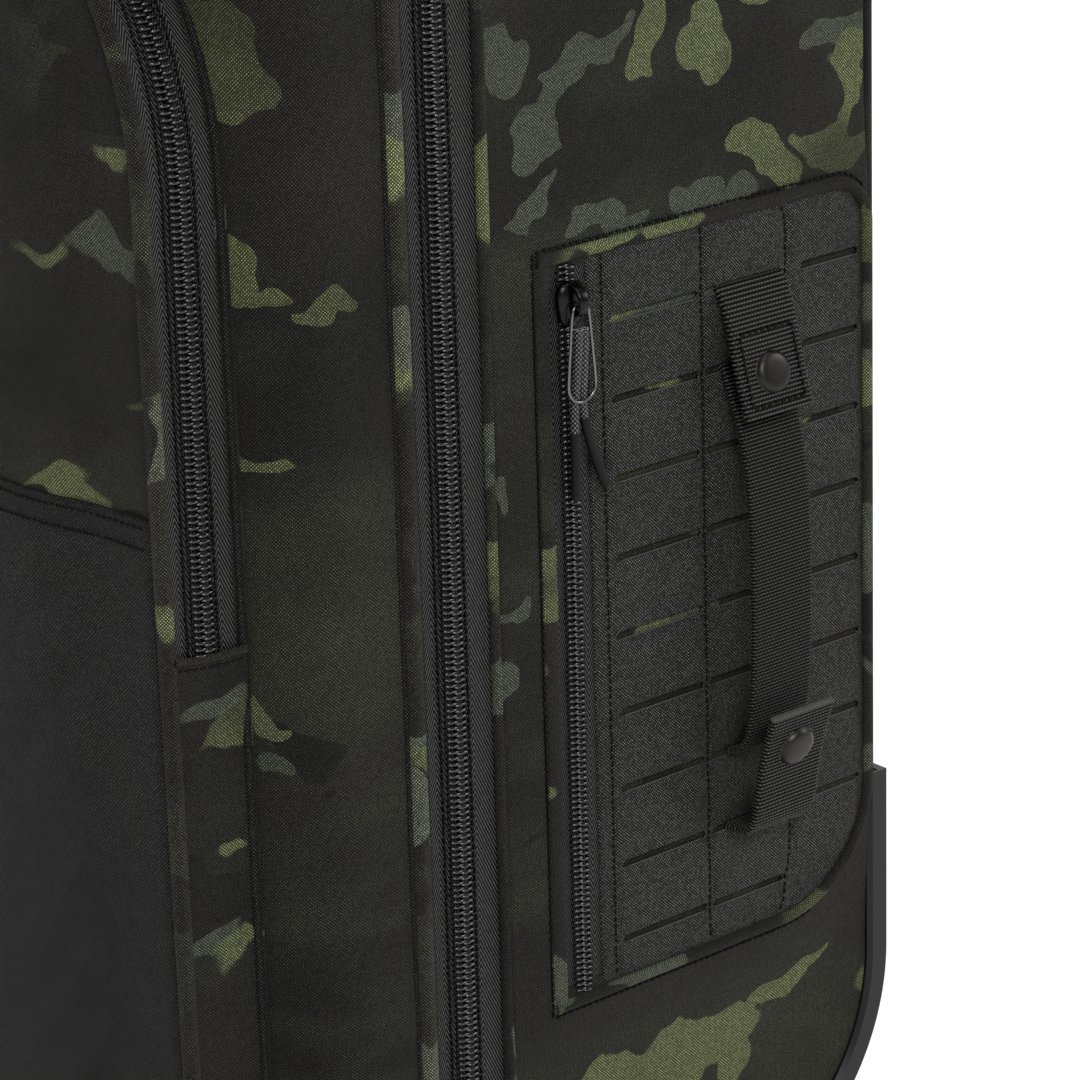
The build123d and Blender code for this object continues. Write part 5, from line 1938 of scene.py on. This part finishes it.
def pulls():
    """Sliders, wire loops and the two cords of each pull."""
    body, hood, loop = slider_body(), slider_hood(), wire_loop()
    for place in PLACES:
        piece = placed_copy(body, f"{place}_slider_body", place, BLACK_ZINC)
        finish_piece(piece, f"{place}_slider", "gunmetal", f"{place}_slider")
        piece = placed_copy(hood, f"{place}_slider_hood", place, BLACK_ZINC)
        finish_piece(piece, f"{place}_slider", "gunmetal")
        piece = placed_copy(loop, f"{place}_wire_loop", place, LOOP_METAL)
        finish_piece(piece, f"{place}_pull", "gunmetal", f"{place}_pull")
        for label, share in (("straight", 0.60), ("splayed", 0.52)):
            cord, line = cords[place, label]
            cord.data.materials.append(CORD_PAINT)
            sheath = braid(f"{place}_braid_{label}", line, share + 0.06)
            tail = sleeve(f"{place}_sleeve_{label}", line, share)
            for piece in (sheath, tail):
                finish_piece(piece, f"{place}_pull", "cord")
            finish_piece(cord, f"{place}_pull", "cord", f"{place}_cords")


# ------------------------------------------------------------------ inside, handles and wheels
def lining():
    """Padded wall between the main compartment and the handle tubes."""
    low, high = extent("lining_wall")
    surface = Surface()
    rows = [bag_section(high.y, 4.2)[0], bag_section(low.y + 0.3, 4.2)[0]]
    index = surface.add(np.stack(rows))
    surface.quads(index, ring_tex(BAG_LOOP, (0.0, 3.0)), wrap=(False, True), flip=True)

    def pad(points, u, v):
        crown = (np.sin(np.pi * u) ** 0.5) * (np.sin(np.pi * v) ** 0.5)
        moved = points.copy()
        moved[..., 1] -= (1.6 + waves(points, 41, 1.2, 120.0)) * crown[..., 0]
        return moved

    coons(surface, index[-1], pad)
    piece = surface.build("lining_pad", [LINING])
    solidify(piece, 2.0)
    finish_piece(piece, "bag", "lining", "lining_wall")


def carry_handle(name, node, half, rise, base, up):
    """A webbing handle that arches off a flat face, with its ends sewn down."""
    low, high = extent(node)
    width = high.y - low.y
    y = (low.y + high.y) / 2
    foot = high.x - 0.5
    line = ((-foot, 0.9), (-half - 4, 0.9), (-half + 8, 2.4), (-half + 30, rise - 2.2), (0, rise - 0.6),
            (half - 30, rise - 2.2), (half - 8, 2.4), (half + 4, 0.9), (foot, 0.9))
    path = smooth_line(line, 240)
    points = line_of(path[:, 0], y, base + up * path[:, 1])
    along = tangents(points)
    out = line_of(-along[:, 2], 0, along[:, 0]) * up
    piece = webbing(name, points, out, width - 0.6, 2.0, WEBBING_HANDLE, HANDLE_RIB, 0.16)
    finish_piece(piece, "bag", "webbing", node)
    run = lengths(points)[-1]
    face = points + out * 1.12
    for k, (first, last) in enumerate(((3.0, 21.0), (run - 21.0, run - 3.0))):
        seam = box_stitch(f"{name}_seam_{k + 1}", face, out, first, last, width / 2 - 3.5, 60 + k)
        finish_piece(seam, "bag", "black_nylon")
    grip = np.abs(points[:, 0]) < 42
    core = points[grip]
    ways = out[grip]
    roll = Surface()
    flat = squircle(width / 2 + 0.9, 3.2, 0.5, 0.7, 40)
    ends = np.clip(np.minimum(np.arange(len(core)), np.arange(len(core))[::-1]) / 3.0, 0, 1)
    sweep(roll, core, ways, flat, radii=0.86 + 0.14 * np.sqrt(ends))
    pad = closed_piece(roll, f"{name}_wrap", BLACK_PATCH)
    finish_piece(pad, "bag", "black_nylon")


TYRE_HALF = (
    (29.05, 11.6), (33.5, 11.9), (35.8, 11.4), (37.2, 10.2), (37.9, 8.6), (38.0, 6.6), (37.9, 5.9),
    (37.0, 5.6), (37.0, 4.6), (37.9, 4.3), (38.0, 3.6), (38.0, 0.9), (37.9, 0.6), (37.0, 0.4),
)
TYRE_PROFILE = TYRE_HALF + tuple((radius, -height) for radius, height in TYRE_HALF[::-1])


def wheels():
    """Treads with moulded grooves; hubs and bearings are the frame's own."""
    low, high = extent("tyre_right")
    middle = np.array((low + high) / 2)
    tread = lathe("tread_right", TYRE_PROFILE, middle, (1, 0, 0), RUBBER, 96)
    both_sides(tread, "wheel_right", "tread", "tyre_right")


def paint_nodes():
    """Finishes for the hard pieces that the frame brings, with softened edges."""
    hard = {
        "wheel_housing_right": (GUARD, 0.7), "wheel_housing_left": (GUARD, 0.7),
        "front_feet": (GUARD, 0.8), "skid_rails": (GUARD, 1.2), "handle_bezel": (GRIP, 0.8),
        "handle_grip": (GRIP, 0.5), "handle_button": (GRIP, 0.3), "stage_1_collars": (GRIP, 0.25),
        "tube_foot": (GRIP, 0.8), "hub_right": (HUB, 0.4), "hub_left": (HUB, 0.4),
        "frame_sheet": (SHEET, 0.0), "outer_tubes": (TUBE, 0.15), "stage_1_tubes": (TUBE, 0.15),
        "stage_2_tubes": (TUBE, 0.15), "bearings_right": (STEEL, 0.2), "bearings_left": (STEEL, 0.2),
        "wheel_axles": (GUNMETAL, 0.4), "release_rods": (STEEL, 0.15), "housing_screws": (BLACK_ZINC, 0.3),
        "snap_sockets": (GUNMETAL, 0.2),
    }
    for name, (material, width) in hard.items():
        node = NODES[name]
        if not node.data.materials:
            node.data.materials.append(material)
        for slot in node.material_slots:
            slot.material = material
        if width:
            bevel(node, width)


# ------------------------------------------------------------------ build everything
def build_bag():
    cloth = main_cloth()
    finish_piece(cloth, "bag", "camo_fabric", "shell_band")
    finish_piece(back_cloth(), "bag", "camo_fabric", "back_panel")
    main_zip()
    pipings()
    lid = lid_cloth()
    swell(lid, lid_freedom(positions(lid) / MM), LID_SWELL)
    solidify(lid, 2.4, inner=1)
    finish_piece(lid, "lid", "camo_fabric", "lid_shell")
    pocket = pocket_cloth()
    before, after = swell(pocket, pocket_freedom(positions(pocket) / MM), POCKET_SWELL)
    solidify(pocket, 1.6, inner=1)
    finish_piece(pocket, "lid", "camo_fabric", "lower_pocket")
    pocket_zip()
    pocket_folds()
    pocket_trim()
    for name in ("wear_panel", "wear_panel_seam_1", "wear_panel_seam_2"):
        follow(bpy.data.objects[name], before, after)
    both_sides(side_panel(), "bag", "black_nylon", "side_pocket_right")
    both_sides(slot_edges(), "bag", "black_nylon")
    both_sides(column_seams(), "bag", "black_nylon")
    edge, seams = side_edges()
    both_sides(edge, "bag", "camo_fabric")
    both_sides(seams, "bag", "black_nylon")
    for k, piece in enumerate(side_zip()):
        piece.name = f"side_zip_{k + 1}_right"
        both_sides(piece, "bag", "zip_tape", *(("side_zip_right",) if k == 0 else ()))
    strap_set()
    pulls()
    lining()
    carry_handle("top_carry_handle", "top_handle", 84.0, 16.0, TOP, 1)
    carry_handle("bottom_grab_handle", "bottom_handle", 62.0, 14.0, BASE, -1)
    wheels()
    paint_nodes()


build_bag()


# ------------------------------------------------------------------ studio
def studio():
    """A pale floor, a pale sky and soft lights."""
    paint = Paint("floor_paint", roughness=0.9, specular=0.2)
    tone = paint.noise(paint.object, 3.0, 2.0)
    paint.set("Base Color", paint.ramp(tone, (0.3, 0.93), (0.7, 0.95)))
    surface = Surface()
    along = np.linspace(-30000, 30000, 61)
    x, y = np.meshgrid(along, along, indexing="ij")
    index = surface.add(np.stack([x, y, np.zeros_like(x)], -1))
    surface.quads(index, np.stack([x, y], -1))
    surface.build("floor", [paint.material])
    world = bpy.data.worlds.new("studio_sky")
    world.use_nodes = True
    world.node_tree.nodes["Background"].inputs[0].default_value = (1, 1, 1, 1)
    world.node_tree.nodes["Background"].inputs[1].default_value = 0.22
    bpy.context.scene.world = world
    for name, place, size, power in (
        ("key", (2.6, -1.3, 2.4), 1.2, 78.0),
        ("fill", (-1.6, -2.8, 1.9), 2.0, 22.0),
        ("top", (-0.2, 0.4, 3.4), 2.6, 45.0),
        ("backdrop", (-2.6, 2.8, 3.2), 3.0, 110.0),
        ("rim", (1.8, 2.6, 1.6), 1.2, 35.0),
    ):
        data = bpy.data.lights.new(name, "AREA")
        data.shape = "SQUARE"
        data.size = size
        data.energy = power
        light = bpy.data.objects.new(name, data)
        light.location = place
        above = name in ("top", "backdrop")
        aim = Vector((place[0], place[1] + 0.1, 0.0) if above else (0.1, 0.0, 0.3)) - Vector(place)
        light.rotation_mode = "QUATERNION"
        light.rotation_quaternion = aim.to_track_quat("-Z", "Y")
        bpy.context.scene.collection.objects.link(light)
    settings = bpy.context.scene.view_settings
    settings.view_transform = "Standard"
    settings.look = "None"


studio()
